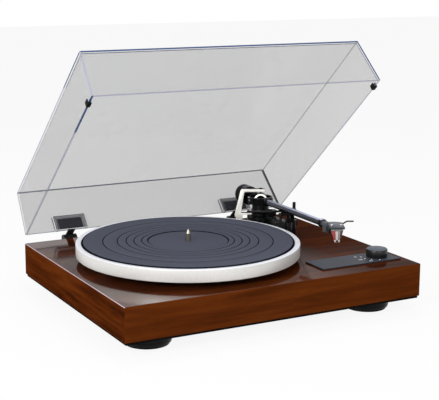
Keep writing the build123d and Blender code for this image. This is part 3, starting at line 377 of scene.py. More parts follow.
def finishPiece(bm, name, finishes, body, replacing=(), sharp=32):
    weld(bm)
    bmesh.ops.recalc_face_normals(bm, faces=bm.faces)
    mesh = bpy.data.meshes.new(name)
    bm.to_mesh(mesh)
    bm.free()
    mesh.shade_smooth()
    mesh.set_sharp_from_angle(angle=radians(sharp))
    for key in finishes.split():
        mesh.materials.append(bpy.data.materials[key])
    piece = bpy.data.objects.new(name, mesh)
    scene.collection.objects.link(piece)
    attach(piece, body)
    if replacing:
        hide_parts(*replacing)


def hardEdges(bm, angle):
    return [e for e in bm.edges if len(e.link_faces) == 2 and e.calc_face_angle() > radians(angle)]


def roundEdges(bm, edges, width, segments=3, affect="EDGES"):
    return bmesh.ops.bevel(
        bm, geom=edges, offset=width, affect=affect, segments=segments, profile=0.5, material=-1,
        clamp_overlap=affect == "EDGES",
    )["faces"]


def addMeshTo(bm, other):
    holder = bpy.data.meshes.new("holder")
    other.to_mesh(holder)
    other.free()
    bm.from_mesh(holder)
    bpy.data.meshes.remove(holder)


# four corners of an outline, or a sleeve's inner radius and start, then its outer radius and end
def rectangle(left, low, right, high):
    return [(left, low), (right, low), (right, high), (left, high)]


# a line of (radius, height) turned about Z, its hard edges rounded
def turnedShape(points, steps=96, place=Matrix(), bevel=0.0, segments=3):
    bm = bmesh.new()
    verts = [bm.verts.new((r, 0, z)) for r, z in points]
    edges = [bm.edges.new(pair) for pair in zip(verts, verts[1:] + verts[:1])]
    bmesh.ops.spin(
        bm, geom=verts + edges, cent=(0, 0, 0), axis=(0, 0, 1), angle=2 * pi, steps=steps, use_merge=True,
    )
    weld(bm)
    bmesh.ops.recalc_face_normals(bm, faces=bm.faces)
    if bevel:
        roundEdges(bm, hardEdges(bm, 25), bevel, segments)
    put(bm, place)
    return bm


def roundedBox(low, high, width, segments=3, place=Matrix()):
    bm = bmesh.new()
    bmesh.ops.create_cube(bm, size=1)
    low, high = Vector(low), Vector(high)
    bmesh.ops.scale(bm, vec=high - low, verts=bm.verts)
    bmesh.ops.translate(bm, vec=(low + high) / 2, verts=bm.verts)
    roundEdges(bm, list(bm.edges), width, segments)
    put(bm, place)
    return bm


def raiseFaces(bm, height):
    made = bmesh.ops.extrude_face_region(bm, geom=list(bm.faces))
    raised = [part for part in made["geom"] if isinstance(part, bmesh.types.BMVert)]
    bmesh.ops.translate(bm, vec=(0, 0, height), verts=raised)
    bmesh.ops.recalc_face_normals(bm, faces=bm.faces)


# a flat outline with chosen corners rounded, raised between two heights
def slab(points, low, high, rounds=(), edge=0.0003, segments=4, place=Matrix()):
    bm = bmesh.new()
    verts = [bm.verts.new((x, y, low)) for x, y in points]
    bm.faces.new(verts)
    for index, width in rounds:
        roundEdges(bm, [verts[index]], width, segments, "VERTICES")
    raiseFaces(bm, high - low)
    roundEdges(bm, hardEdges(bm, 40), edge, 2)
    put(bm, place)
    return bm


# gives the faces that pass the test, or all of them, one of the piece's finishes
def paintFaces(bm, index, test=lambda face: True):
    bm.normal_update()
    for face in bm.faces:
        if test(face):
            face.material_index = index


def cleanCopy(name):
    bm = bmesh.new()
    bm.from_mesh(nodes[name].data)
    weld(bm)
    bmesh.ops.dissolve_limit(bm, angle_limit=radians(0.6), verts=bm.verts, edges=bm.edges)
    for face in bm.faces:
        face.material_index = 0
    return bm


# the CAD solid again with its hard edges rounded, in the last of its finishes
def softened(names, width, finishes, body, segments=2):
    for name in names.split():
        bm = cleanCopy(name)
        for face in roundEdges(bm, hardEdges(bm, 35), width, segments):
            face.material_index = len(finishes.split()) - 1
        finishPiece(bm, name + "_soft", finishes, body, [name], 20)


# the surface of a curve or of text, which is removed
def meshFromCurve(curve):
    holder = bpy.data.objects.new("line", curve)
    scene.collection.objects.link(holder)
    drawn = holder.evaluated_get(bpy.context.evaluated_depsgraph_get())
    mesh = bpy.data.meshes.new_from_object(drawn)
    bm = bmesh.new()
    bm.from_mesh(mesh)
    bpy.data.objects.remove(holder)
    bpy.data.curves.remove(curve)
    bpy.data.meshes.remove(mesh)
    return bm


# a round rod along a bent line
def rod(points, radius, place=Matrix()):
    curve = bpy.data.curves.new("rodLine", "CURVE")
    curve.dimensions = "3D"
    curve.bevel_depth = radius
    curve.bevel_resolution = 6
    curve.use_fill_caps = True
    spline = curve.splines.new("POLY")
    spline.points.add(len(points) - 1)
    for point, where in zip(spline.points, points):
        point.co = (*where, 1)
    bm = meshFromCurve(curve)
    weld(bm)
    put(bm, place)
    return bm


# plinth: its outer edges rounded, the left one painted lilac as a painted highlight
plinth = {"edge": 0.0008, "near": 0.0002, "front": 0.5, "side": 0.7, "slope": (0.3, 0.95)}
plinthLow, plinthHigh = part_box("plinth")
deckTop = plinthHigh[2]


# true on the upright corners and the upper outline of the plinth
def onOutline(edge):
    sides = 0
    for axis in (0, 1):
        for limit in (plinthLow[axis], plinthHigh[axis]):
            sides += all(abs(v.co[axis] - limit) < plinth["near"] for v in edge.verts)
    return sides == 2 or (sides == 1 and all(v.co.z > deckTop - plinth["near"] for v in edge.verts))


def isLeftSlope(face):
    least, most = plinth["slope"]
    return face.normal.x < -least and least < face.normal.z < most


shape = cleanCopy("plinth")
roundEdges(shape, [e for e in hardEdges(shape, 35) if onOutline(e)], plinth["edge"], 2)
paintFaces(shape, 1, lambda face: abs(face.normal.y) > plinth["front"])
paintFaces(shape, 2, lambda face: abs(face.normal.x) > plinth["side"])
# the rounded left edge gets a painted lilac highlight
paintFaces(shape, 3, isLeftSlope)
finishes = "walnutDeck walnutFront walnutSide edgeLacquer"
finishPiece(shape, "plinthBody", finishes, "base", ["plinth"], 15)

# feet: turned bodies with shallow grips
foot = {"radius": 0.031, "pad": 0.0283, "padTop": 0.0036, "low": 0.002, "round": 0.0008, "grip": 0.0004,
        "toe": ((0.0022, 0), (0.0007, 0.0009), (0, 0.0025)), "gripHeights": (0.0075, 0.0125)}
r, grip, footTop = foot["radius"], foot["grip"], heightsOf("foot_front_left")[1]
profile = [(0, foot["padTop"]), (foot["pad"], foot["padTop"]), (foot["pad"], foot["low"])]
profile += [(r - inward, foot["low"] + up) for inward, up in foot["toe"]]
for z in foot["gripHeights"]:
    profile += [(r, z - grip), (r - grip, z - grip / 2), (r - grip, z + grip / 2), (r, z + grip)]
profile += [(r, footTop - foot["round"]), (r - foot["round"], footTop), (0, footTop)]
for corner in ("front_left", "front_right", "back_left", "back_right"):
    where = middleOf("foot_" + corner)
    shape = turnedShape(profile, 96, at(where.x, where.y))
    finishPiece(shape, "footBody_" + corner, "footPlastic", "base", ["foot_" + corner])
print("feet done")

# platter: a dish whose upper rim is painted lighter and bluer, a painted highlight
platterBottom, platterTop = heightsOf("platter")
matSeat, matTop = heightsOf("platter_mat")
platter = {
    "line": ((0.004, 0.0845), (0.143, 0.0845), (0.143, platterBottom), (0.152, platterBottom),
             (0.152, platterTop), (0.1446, platterTop), (0.1446, matSeat), (0.004, matSeat)),
    "round": 0.0008, "rim": 0.001, "flat": 0.4,
}
platterPlace = at(*spindleAxis)


def onUpperRim(face):
    return face.normal.z > platter["flat"] and face.calc_center_median().z > platterTop - platter["rim"]


shape = turnedShape(platter["line"], 256, platterPlace, platter["round"])
paintFaces(shape, 1, onUpperRim)
finishPiece(shape, "platterDish", "platterAlloy platterTop", "turning_platter", ["platter"])

# mat: a sunk label place, sunk lines and a rounded rim
mat = {"radius": 0.1443, "bore": 0.0041, "label": 0.055, "recess": 0.0008, "labelLine": 0.0011,
       "lineDepth": 0.0003, "half": 0.00062, "depth": 0.0009, "lip": 0.0002, "drop": 0.0001, "step": 0.0006,
       "edge": 0.0022, "shadeStep": 0.0004, "skirt": 0.001, "grooves": (0.063, 0.0735, 0.084, 0.096, 0.1155),
       "rim": ((0.0023, 0), (0.0009, 0), (0.0002, 0.0003), (0, 0.001))}
label, labelFloor, half = mat["label"], matTop - mat["recess"], mat["half"]
profile = [(mat["bore"], matSeat), (mat["bore"], labelFloor), (label - mat["labelLine"], labelFloor)]
profile += [(label, labelFloor - mat["lineDepth"]), (label + mat["lip"], matTop - mat["drop"])]
profile += [(label + mat["step"], matTop)]
for r in mat["grooves"]:
    walls = ((half + mat["lip"], 0), (half, mat["drop"]), (half / 2, mat["depth"]))
    profile += [(r - across, matTop - down) for across, down in walls]
    profile += [(r + across, matTop - down) for across, down in reversed(walls)]
profile += [(mat["radius"] - inward, matTop - down) for inward, down in mat["rim"]]
profile += [(mat["radius"], matSeat)]
shape = turnedShape(profile, 256, platterPlace)


# true in the sunk lines, at the edge of the label's place and on the rim
def inGroove(face):
    middle = face.calc_center_median()
    r = (middle.xy - spindleAxis).length
    if label - mat["labelLine"] < r < label + mat["shadeStep"] or r > mat["radius"] - mat["edge"]:
        return True
    return any(abs(r - groove) < half for groove in mat["grooves"]) and middle.z > matSeat + mat["skirt"]


paintFaces(shape, 1, inGroove)
finishes = "slateRubber grooveShade"
finishPiece(shape, "ribbedMat", finishes, "turning_platter", ["platter_mat"], 50)

# spindle, dark at its foot and at its neck
spindleFoot, spindleTip = heightsOf("spindle")
spindle = {
    "line": ((0.004, 0.0912), (0.0036, 0.0914), (0.0036, 0.1), (0.0032, 0.1004), (0.0032, 0.1012),
             (0.0026, 0.1024), (0.0016, 0.1056), (0.0012, 0.1066)),
    "shaft": 0.004, "tip": 0.0006, "footShade": 0.0924, "neckShade": (0.0998, 0.1014),
}
profile = [(0, spindleFoot), (spindle["shaft"], spindleFoot), *spindle["line"]]
profile += [(spindle["tip"], spindleTip), (0, spindleTip)]


def inShade(face):
    z = face.calc_center_median().z
    low, high = spindle["neckShade"]
    return low < z < high or z < spindle["footShade"]


shape = turnedShape(profile, 64, platterPlace)
paintFaces(shape, 1, inShade)
finishes = "spindleSteel spindleShade"
finishPiece(shape, "spindlePost", finishes, "turning_platter", ["spindle"], 24)
print("platter done")

# control panel with plain numbers and dots
panelLow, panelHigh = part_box("control_panel")
panel = {"corner": 0.0012, "edge": 0.0003, "flat": 0.9}
rounds = [(index, panel["corner"]) for index in range(4)]
shape = slab(rectangle(*panelLow[:2], *panelHigh[:2]), panelLow[2], panelHigh[2], rounds, panel["edge"])
paintFaces(shape, 1, lambda face: face.normal.z < panel["flat"])
finishPiece(shape, "panelPlate", "panelSlate panelEdge", "base", ["control_panel"], 20)

# dots and numbers stand to the right of the knob's axis and behind it
marks = {"size": 0.0058, "proud": 0.00006, "dot": 0.0011,
         "dots": ((-0.0215, 0.0065), (-0.0225, -0.0042), (-0.0165, -0.0112), (-0.0075, -0.0178)),
         "numbers": (("0", (-0.0285, 0.0098)), ("33", (-0.0305, -0.0056)), ("45", (-0.0215, -0.0172)))}


def writeNumber(text, place):
    curve = bpy.data.curves.new("number", "FONT")
    curve.body = text
    curve.size = marks["size"]
    curve.extrude = marks["proud"]
    curve.align_x = "CENTER"
    curve.align_y = "CENTER"
    bm = meshFromCurve(curve)
    put(bm, place)
    return bm


def besideKnob(offset):
    return at(*(knobAxis + Vector(offset)), panelHigh[2])


shape = bmesh.new()
for text, offset in marks["numbers"]:
    addMeshTo(shape, writeNumber(text, besideKnob(offset)))
low, high, dot = -marks["proud"], marks["proud"] * 2, marks["dot"]
for offset in marks["dots"]:
    addMeshTo(shape, turnedShape(rectangle(0, low, dot, high), 24, besideKnob(offset)))
finishPiece(shape, "panelNumbers", "printedMarks", "base", ())

# knob: foot and rim are steps inward and up or down
knobLow, knobHigh = heightsOf("speed_knob")
knob = {"radius": 0.0148, "bore": 0.003, "hollow": 0.0036, "foot": ((0.0008, 0), (0.0003, 0.0006)),
        "rim": ((0, 0.0016), (0.0007, 0.0005), (0.0013, 0)), "face": 0.0004}
profile = [(knob["bore"], knobLow)]
profile += [(knob["radius"] - inward, knobLow + up) for inward, up in knob["foot"]]
profile += [(knob["radius"] - inward, knobHigh - down) for inward, down in knob["rim"]]
profile += [(0, knobHigh), (0, knobHigh - knob["hollow"]), (knob["bore"], knobHigh - knob["hollow"])]
shape = turnedShape(profile, 128, at(*knobAxis))
paintFaces(shape, 1, lambda face: face.calc_center_median().z > knobHigh - knob["face"])
finishPiece(shape, "knobCap", "knobSkirt knobFace", "knob", ["speed_knob"], 40)
print("panel done")

# lid, built closed and then turned open about the hinge axis
lid = {"half": 0.214, "top": 0.1403, "rim": 0.0695, "back": 0.147718, "front": -0.197682, "sideDraft": 0.005,
       "frontDraft": 0.004, "wall": 0.003, "edge": 0.0014, "strip": 0.0036, "navy": 0.08, "leftCorner": 0.1,
       "open": 41.5, "bevelMark": 2, "rimZone": 0.001, "finishes":
       "clearAcrylic clearAcrylicWall polishedEdge sawnRim clearAcrylicBack navyEdge darkEdge greyEdge"}
hinge = Vector(joints["lid_hinge"]["pos_m"])
openPlace = at(0, hinge.y, hinge.z) @ turned("X", -lid["open"]) @ at(0, -hinge.y, -hinge.z)
# a normal leans to a side when it is past "leaning", and is square to an axis when past "square"
leaning, square = 0.3, 0.9
shape = bmesh.new()
bmesh.ops.create_cube(shape, size=1)
for v in shape.verts:
    isHigh = v.co.z > 0
    x = (lid["half"] - (lid["sideDraft"] if isHigh else 0)) * (1 if v.co.x > 0 else -1)
    y = lid["back"] if v.co.y > 0 else lid["front"] + (lid["frontDraft"] if isHigh else 0)
    v.co = (x, y, lid["top"] if isHigh else lid["rim"])
shape.normal_update()
below = [face for face in shape.faces if face.normal.z < -square]
bmesh.ops.delete(shape, geom=below, context="FACES_ONLY")
for face in roundEdges(shape, hardEdges(shape, 40), lid["edge"], 1):
    face.material_index = lid["bevelMark"]
bmesh.ops.recalc_face_normals(shape, faces=shape.faces)
shape.normal_update()
middle = Vector((0, (lid["front"] + lid["back"]) / 2, (lid["rim"] + lid["top"]) / 2))
if not all(face.normal.dot(face.calc_center_median() - middle) > 0 for face in shape.faces):
    bmesh.ops.reverse_faces(shape, faces=shape.faces)
# lines that part the walls, so that strips along their edges can take painted edge shade
stripLow = lid["top"] - lid["strip"]
navyBack = lid["front"] + lid["navy"]
rightLine = Vector((lid["top"] - lid["rim"], 0, lid["sideDraft"])).normalized()
nearRight = Vector((lid["half"], 0, lid["rim"])) - rightLine * lid["strip"]
for point, normal in (((0, 0, stripLow), (0, 0, 1)), (nearRight, rightLine), ((0, navyBack, 0), (0, 1, 0))):
    bmesh.ops.bisect_plane(shape, geom=everything(shape), plane_co=point, plane_no=normal)


# the rounded edges get painted shade in navy, blue, grey or near black, or a painted lilac sheen, by the side
# they face
def bevelFinish(n, nearFront):
    if n.z <= leaning:
        if n.x <= 0:
            return "sawnRim"
        return "navyEdge" if n.y < 0 else "darkEdge"
    if n.x > leaning:
        return "greyEdge"
    if n.x < -leaning:
        return "navyEdge" if nearFront else "sawnRim"
    return "navyEdge" if n.y < 0 else "polishedEdge"


# which finish a part of the lid has: clear, or painted edge shade and a painted lilac sheen
def lidFinish(face):
    centre, n = face.calc_center_median(), face.normal
    nearFront = centre.y < navyBack
    atRight = (centre - nearRight).dot(rightLine) > 0
    if face.material_index == lid["bevelMark"]:
        return bevelFinish(n, nearFront)
    if n.y < -square:
        return "navyEdge" if centre.z > stripLow or atRight else "clearAcrylicWall"
    if n.y > square:
        return "darkEdge" if atRight else "clearAcrylicBack"
    if n.x >= -square:
        return "clearAcrylic"
    if centre.z <= stripLow:
        return "clearAcrylicWall"
    return "navyEdge" if nearFront else "sawnRim"


# the lower rim: a painted lilac sheen, with painted navy shade near the left front corner
def rimFinish(centre):
    isCorner = centre.x < lid["leftCorner"] - lid["half"] and centre.y < navyBack
    return "navyEdge" if isCorner else "sawnRim"


lidKeys = lid["finishes"].split()
shape.normal_update()
for face in shape.faces:
    face.material_index = lidKeys.index(lidFinish(face))
bmesh.ops.solidify(shape, geom=shape.faces[:], thickness=lid["wall"])
shape.normal_update()
for face in shape.faces:
    centre = face.calc_center_median()
    if abs(face.normal.z) > square and centre.z < lid["rim"] + lid["rimZone"]:
        face.material_index = lidKeys.index(rimFinish(centre))
put(shape, openPlace)
finishPiece(shape, "clearCover", lid["finishes"], "cover", ["lid"], 20)

# hinges, bumpers and the sockets' plate
pockets = "hinge_pocket_left hinge_pocket_right"
# the hinge pockets are darkened as painted shade, and their rounded edges are painted white glints
softened(pockets, 0.0007, "pocketWall cornerGlint", "cover", 1)
softened("hinge_plug_left hinge_plug_right", 0.0005, "hingePlastic", "cover")
softened("hinge_bracket_left hinge_bracket_right", 0.0004, "blackenedSteel", "base")
bumper = {"round": 0.0016, "size": 0.82}
shape = cleanCopy("lid_bumpers")
for side in (-1, 1):
    own = [v for v in shape.verts if v.co.x * side > 0]
    middle = sum((v.co for v in own), Vector()) / len(own)
    for v in own:
        v.co = middle + (v.co - middle) * bumper["size"]
roundEdges(shape, hardEdges(shape, 35), bumper["round"])
finishPiece(shape, "lidBumpers", "padRubber", "cover", ["lid_bumpers"], 60)
softened("socket_plate", 0.0003, "blackenedSteel", "base")
softened("power_inlet", 0.0003, "mouldedPlastic", "base")
print("lid done")

# places of the tonearm: X runs along the arm and Y to its right
pivot = Vector(joints["arm_pitch"]["pos_m"])
armTurns = {"park": -92.8, "pitch": -0.75, "frame": -30, "head": -24.4}
columnPlace = at(pivot.x, pivot.y)
swingPlace = at(*pivot) @ turned("Z", armTurns["park"])
armPlace = swingPlace @ turned("Y", armTurns["pitch"])
framePlace = at(*pivot) @ turned("Z", armTurns["frame"])
alongX = turned("Y", 90)
upright = turned("X", 90)

# arm base: column, neck, cup and pin as one turned line, and the beam that carries the rest
neckFoot, clampTop = 0.0878, 0.0923
base = {
    "line": ((0, 0.040), (0.008, 0.040), (0.008, deckTop), (0.020, deckTop), (0.020, neckFoot),
             (0.0095, neckFoot), (0.0095, 0.0925), (0.0138, 0.0925), (0.0138, 0.0977), (0.0125, 0.0987),
             (0.0125, 0.1054), (0.0015, 0.1054), (0.0015, 0.1082), (0, 0.1082)),
    "round": 0.0006, "beam": (0.1215, -0.014782, 0.1325, 0.053391), "beamTop": 0.0927, "beamCorner": 0.0053,
}
shape = turnedShape(base["line"], 96, columnPlace, base["round"])
rounds = [(index, base["beamCorner"]) for index in (0, 1)]
addMeshTo(shape, slab(rectangle(*base["beam"]), deckTop, base["beamTop"], rounds, base["round"], 8))
finishPiece(shape, "armColumn", "glossBlackPaint", "base", ["arm_base"])

# bearing frame: a C with a polished front, drawn along and up from the pivot, and a clamp round the neck
cFrame = {
    "outline": ((0.006, 0.0165), (-0.0297, 0.0165), (-0.039, -0.024), (-0.0357, -0.0296), (-0.0267, -0.0296),
                (-0.0267, -0.0222), (-0.00955, -0.0222), (-0.00955, -0.0197), (-0.0271, -0.0197),
                (-0.0291, -0.0194), (-0.0244, 0.0124), (0.006, 0.0124)),
    "rounds": ((1, 0.003), (2, 0.0022), (3, 0.0018), (4, 0.001), (10, 0.0022)), "halfDepth": 0.0043,
    "front": 0.5, "clamp": (0.00955, neckFoot, 0.01405, clampTop), "clampRound": 0.0005,
}
shape = slab(cFrame["outline"], -cFrame["halfDepth"], cFrame["halfDepth"], cFrame["rounds"])
paintFaces(shape, 1, lambda face: face.normal.z > cFrame["front"])
put(shape, framePlace @ upright)
addMeshTo(shape, turnedShape(rectangle(*cFrame["clamp"]), 96, columnPlace, cFrame["clampRound"]))
finishPiece(shape, "bearingFrame", "satinBlackPaint creamPolish", "base", ["arm_frame"])
softened("pivot_screw", 0.0003, "satinBlackPaint", "base")

# bearing block with its bright front rim, in the ring that carries the arm
block = {"radius": 0.010, "half": 0.008, "bottom": -0.0056, "rim": 0.0021, "rimLength": 0.0012,
         "recess": 0.0006, "lip": 0.0003, "chamfer": 0.001, "turn": -27.2, "front": 0.1}
r, half, hollow = block["radius"], block["half"], block["half"] - block["recess"]
shape = turnedShape([
    (0, -half), (r - block["chamfer"], -half), (r, -half + block["chamfer"]), (r, half - block["rimLength"]),
    (r - block["rim"], half), (r - block["rim"] - block["lip"], hollow), (0, hollow),
], 96, alongX)


def onFrontRim(face):
    centre = face.calc_center_median()
    if centre.x <= half - block["rimLength"] or face.normal.x <= block["front"]:
        return False
    return hypot(*centre.yz) > r - block["rim"]


paintFaces(shape, 1, onFrontRim)
cut = bmesh.ops.bisect_plane(
    shape, geom=everything(shape), plane_co=(0, 0, block["bottom"]), plane_no=(0, 0, -1), clear_outer=True,
)
bmesh.ops.holes_fill(shape, edges=[part for part in cut["geom_cut"] if isinstance(part, bmesh.types.BMEdge)])
put(shape, swingPlace @ turned("Z", block["turn"]))
finishPiece(shape, "bearingBlock", "glossBlackPaint creamPolish", "swing", ["bearing_block"])

ring = {"line": ((0.0155, -0.005), (0.019, -0.005), (0.019, 0.0041), (0.0181, 0.005), (0.0155, 0.005)),
        "boss": (0.0046, 0.0172, 0.006, 0.025), "bossRound": 0.0005, "slope": (0.2, 0.95),
        "brightTurns": (-115.6, 64.4), "brightHalf": 26}
shape = turnedShape(ring["line"], 128)


# true on the parts of the ring's upper edge that get a painted highlight
def onBrightEdge(face):
    least, most = ring["slope"]
    outward = face.calc_center_median().xy.normalized()
    angles = [radians(turn) for turn in ring["brightTurns"]]
    brightness = [outward.dot(Vector((cos(angle), sin(angle)))) for angle in angles]
    return max(brightness) > cos(radians(ring["brightHalf"])) and least < face.normal.z < most


paintFaces(shape, 1, onBrightEdge)
for turn in (180, 0):
    place = turned("Z", turn) @ alongX
    addMeshTo(shape, turnedShape(rectangle(*ring["boss"]), 64, place, ring["bossRound"]))
put(shape, armPlace)
finishPiece(shape, "gimbalRing", "glossBlackPaint ringHighlight", "arm", ["gimbal_ring"], 30)
softened("side_pivots", 0.0003, "brightScrew", "arm")

# arm tube and locking collar, their upper sides painted with a highlight
tube = {"start": 0.020, "end": 0.181, "radius": 0.0045, "lit": 0.75}
shape = turnedShape(rectangle(0, tube["start"], tube["radius"], tube["end"]), 64, armPlace @ alongX)
paintFaces(shape, 1, lambda face: face.normal.z > tube["lit"])
finishPiece(shape, "armTube", "darkTube tubeUpperSide", "arm", ["arm_tube"])

collar = {"sleeve": (0.0046, 0.1775, 0.0059, 0.1845), "round": 0.0009, "lit": 0.8}
shape = turnedShape(rectangle(*collar["sleeve"]), 64, armPlace @ alongX, collar["round"], 4)
paintFaces(shape, 1, lambda face: face.normal.z > collar["lit"])
finishPiece(shape, "lockCollar", "glossBlackPaint ringHighlight", "collar", ["lock_collar"])

# headshell: an offset plate with a neck that sweeps down onto it
# the neck's sections have a place along the arm, a half width, a half height and a rise
head = {
    "screw": (0.2122, 0.0032), "front": 0.0127, "back": 0.020, "left": 0.0103, "right": 0.0104,
    "neck": 0.1875, "leftJoin": 0.204, "shoulder": (0.1895, 0.014), "top": 0.0024, "bottom": -0.0004,
    "edge": 0.0004, "rounds": ((2, 0.0014), (3, 0.0014), (5, 0.004)), "flat": 0.75,
    "block": ((0.192, -0.0062, -0.0092), (0.200, -0.0022, 0.0044)),
    "web": ((0.1995, -0.0060, -0.0086), (0.2075, -0.0024, -0.0002)),
    "sections": ((0.1815, 0.0045, 0.0045, 0.0), (0.188, 0.0052, 0.0044, 0.0),
                 (0.1935, 0.0062, 0.0036, 0.0002), (0.199, 0.0068, 0.0022, 0.0005),
                 (0.204, 0.0068, 0.0013, 0.0008)),
}
headTurn = turned("Z", armTurns["head"])
headPlace = armPlace @ at(*head["screw"]) @ headTurn


def onArm(forward, right):
    return (at(*head["screw"]) @ headTurn @ Vector((forward, right, 0))).xy


shape = slab([
    (head["neck"], -tube["radius"]), (head["leftJoin"], -tube["radius"]), onArm(head["front"], -head["left"]),
    onArm(head["front"], head["right"]), onArm(-head["back"], head["right"]), head["shoulder"],
    (head["neck"], tube["radius"]),
], head["bottom"], head["top"], head["rounds"], head["edge"])
paintFaces(shape, 1, lambda face: face.normal.z < head["flat"])
loops = []
for x, halfWidth, halfHeight, z in head["sections"]:
    made = bmesh.ops.create_circle(shape, cap_ends=False, radius=1, segments=32)
    section = at(x, 0, z) @ Matrix.Diagonal((1, halfWidth, halfHeight, 1)) @ alongX
    bmesh.ops.transform(shape, matrix=section, verts=made["verts"])
    loops.append({edge for v in made["verts"] for edge in v.link_edges})
for near, far in zip(loops, loops[1:]):
    bmesh.ops.bridge_loops(shape, edges=list(near | far))
for end in (loops[0], loops[-1]):
    bmesh.ops.holes_fill(shape, edges=list(end))
for box, index in ((head["block"], 2), (head["web"], 1)):
    boxMesh = roundedBox(*box, head["edge"])
    paintFaces(boxMesh, index)
    addMeshTo(shape, boxMesh)
put(shape, armPlace)
finishPiece(shape, "offsetShell", "shellGrey shellEdge blockGrey", "arm", ["headshell"], 34)

# finger lift: a flattened rod that leaves the plate to the right and rises
fingerLift = {
    "line": ((0.0088, 0.0013), (0.0104, 0.0017), (0.0152, 0.0048), (0.0164, 0.0051), (0.0251, 0.0051)),
    "x": -0.0135, "radius": 0.0010, "flat": 1.7, "round": 0.0005,
}
shape = rod([(fingerLift["x"], y, z) for y, z in fingerLift["line"]], fingerLift["radius"])
roundEdges(shape, hardEdges(shape, 60), fingerLift["round"])
flatten = at(fingerLift["x"], 0) @ Matrix.Diagonal((fingerLift["flat"], 1, 1, 1)) @ at(-fingerLift["x"], 0)
put(shape, headPlace @ flatten)
finishPiece(shape, "fingerRod", "shellEdge", "arm", ["finger_lift"], 50)

# cartridge screws, measured from the top of the plate: bright heads with dark rings round them and dark
# crossed slots, both painted shade
screw = {
    "spacing": 0.0127, "slotRound": 0.00008, "slotTurns": (20, 110),
    "line": ((0, -0.006), (0.00125, -0.006), (0.00125, 0), (0.0021, 0), (0.0021, 0.0009), (0.0015, 0.0014),
             (0, 0.0014)),
    "counterboreShade": ((0.0022, 0), (0.0033, 0), (0.0031, 0.0003), (0.0022, 0.0003)),
    "slot": ((-0.0016, -0.00025, 0.0011), (0.0016, 0.00025, 0.00143)),
}
shape = bmesh.new()
for side in (-1, 1):
    where = headPlace @ at(0, side * screw["spacing"] / 2, head["top"])
    addMeshTo(shape, turnedShape(screw["line"], 48, where))
    dark = turnedShape(screw["counterboreShade"], 48, where)
    for turn in screw["slotTurns"]:
        addMeshTo(dark, roundedBox(*screw["slot"], screw["slotRound"], 2, where @ turned("Z", turn)))
    paintFaces(dark, 1)
    addMeshTo(shape, dark)
finishPiece(shape, "shellScrews", "brightScrew shellEdge", "arm", ["cartridge_screws"])

# cartridge and stylus, drawn across and down and raised forward
forward = Matrix(((0, 0, 1, 0), (1, 0, 0, 0), (0, 1, 0, 0), (0, 0, 0, 1)))
body = {
    "outline": ((-0.0082, -0.0004), (0.0082, -0.0004), (0.0082, -0.0054), (0.0050, -0.0139),
                (-0.0050, -0.0139), (-0.0082, -0.0054)),
    "back": -0.015, "front": 0.0045, "edge": 0.0004,
}
shape = slab(body["outline"], body["back"], body["front"], edge=body["edge"], place=headPlace @ forward)
finishPiece(shape, "cartridgeBody", "cartridgeBlack", "arm", ["cartridge"])


# a facet with a level top and a narrower level foot
def tapered(left, top, right, bottom, lowRight, lowLeft):
    return [(left, top), (right, top), (lowRight, bottom), (lowLeft, bottom)]


# the pale facet in the middle is a painted highlight on the red stylus, and the darker red facet on its right
# is painted shade
# each facet: finish, where it starts and ends forward, outline across and down
stylus = {
    "back": 0.0045, "rooted": 0.0072, "sunk": 0.0101, "core": 0.0102, "front": 0.0112, "proud": 0.0115,
    "finishes": "stylusRed stylusDarkRed stylusClear stylusBand", "needle": 0.0003,
    "needleLine": ((0.0045, 0, -0.0158), (0.0085, 0, -0.0182), (0.009, 0, -0.0196)),
    "facets": (
        ("stylusDarkRed", "back", "core", ((-0.0080, -0.0004), (0.0080, -0.0004), (0.0080, -0.0029),
                                           (0.0040, -0.0160), (-0.0040, -0.0160), (-0.0080, -0.0029))),
        ("stylusBand", "sunk", "proud", rectangle(-0.0082, -0.0004, 0.0082, -0.0026)),
        ("stylusRed", "sunk", "front", tapered(-0.0081, -0.0028, -0.0027, -0.0152, -0.0027, -0.0042)),
        ("stylusClear", "sunk", "proud", tapered(-0.0024, -0.0032, 0.0016, -0.0154, 0.0014, -0.0020)),
        ("stylusBand", "sunk", "front", tapered(0.0018, -0.0028, 0.0044, -0.0154, 0.0038, 0.0018)),
        ("stylusDarkRed", "sunk", "front",
         ((0.0046, -0.0028), (0.0081, -0.0028), (0.0054, -0.0128), (0.0042, -0.0150))),
        ("stylusClear", "rooted", "front", tapered(-0.0043, -0.0150, -0.0014, -0.0184, -0.0018, -0.0033)),
        ("stylusClear", "rooted", "front", tapered(0.0014, -0.0150, 0.0040, -0.0184, 0.0034, 0.0019)),
    ),
}
stylusKeys = stylus["finishes"].split()
shape = bmesh.new()
for key, start, reach, outline in stylus["facets"]:
    facet = slab(outline, stylus[start], stylus[reach], place=headPlace @ forward)
    paintFaces(facet, stylusKeys.index(key))
    addMeshTo(shape, facet)
needle = rod(stylus["needleLine"], stylus["needle"], headPlace)
paintFaces(needle, stylusKeys.index("stylusBand"))
addMeshTo(shape, needle)
finishPiece(shape, "stylusFacets", stylus["finishes"], "arm", ["stylus"])
print("headshell done")

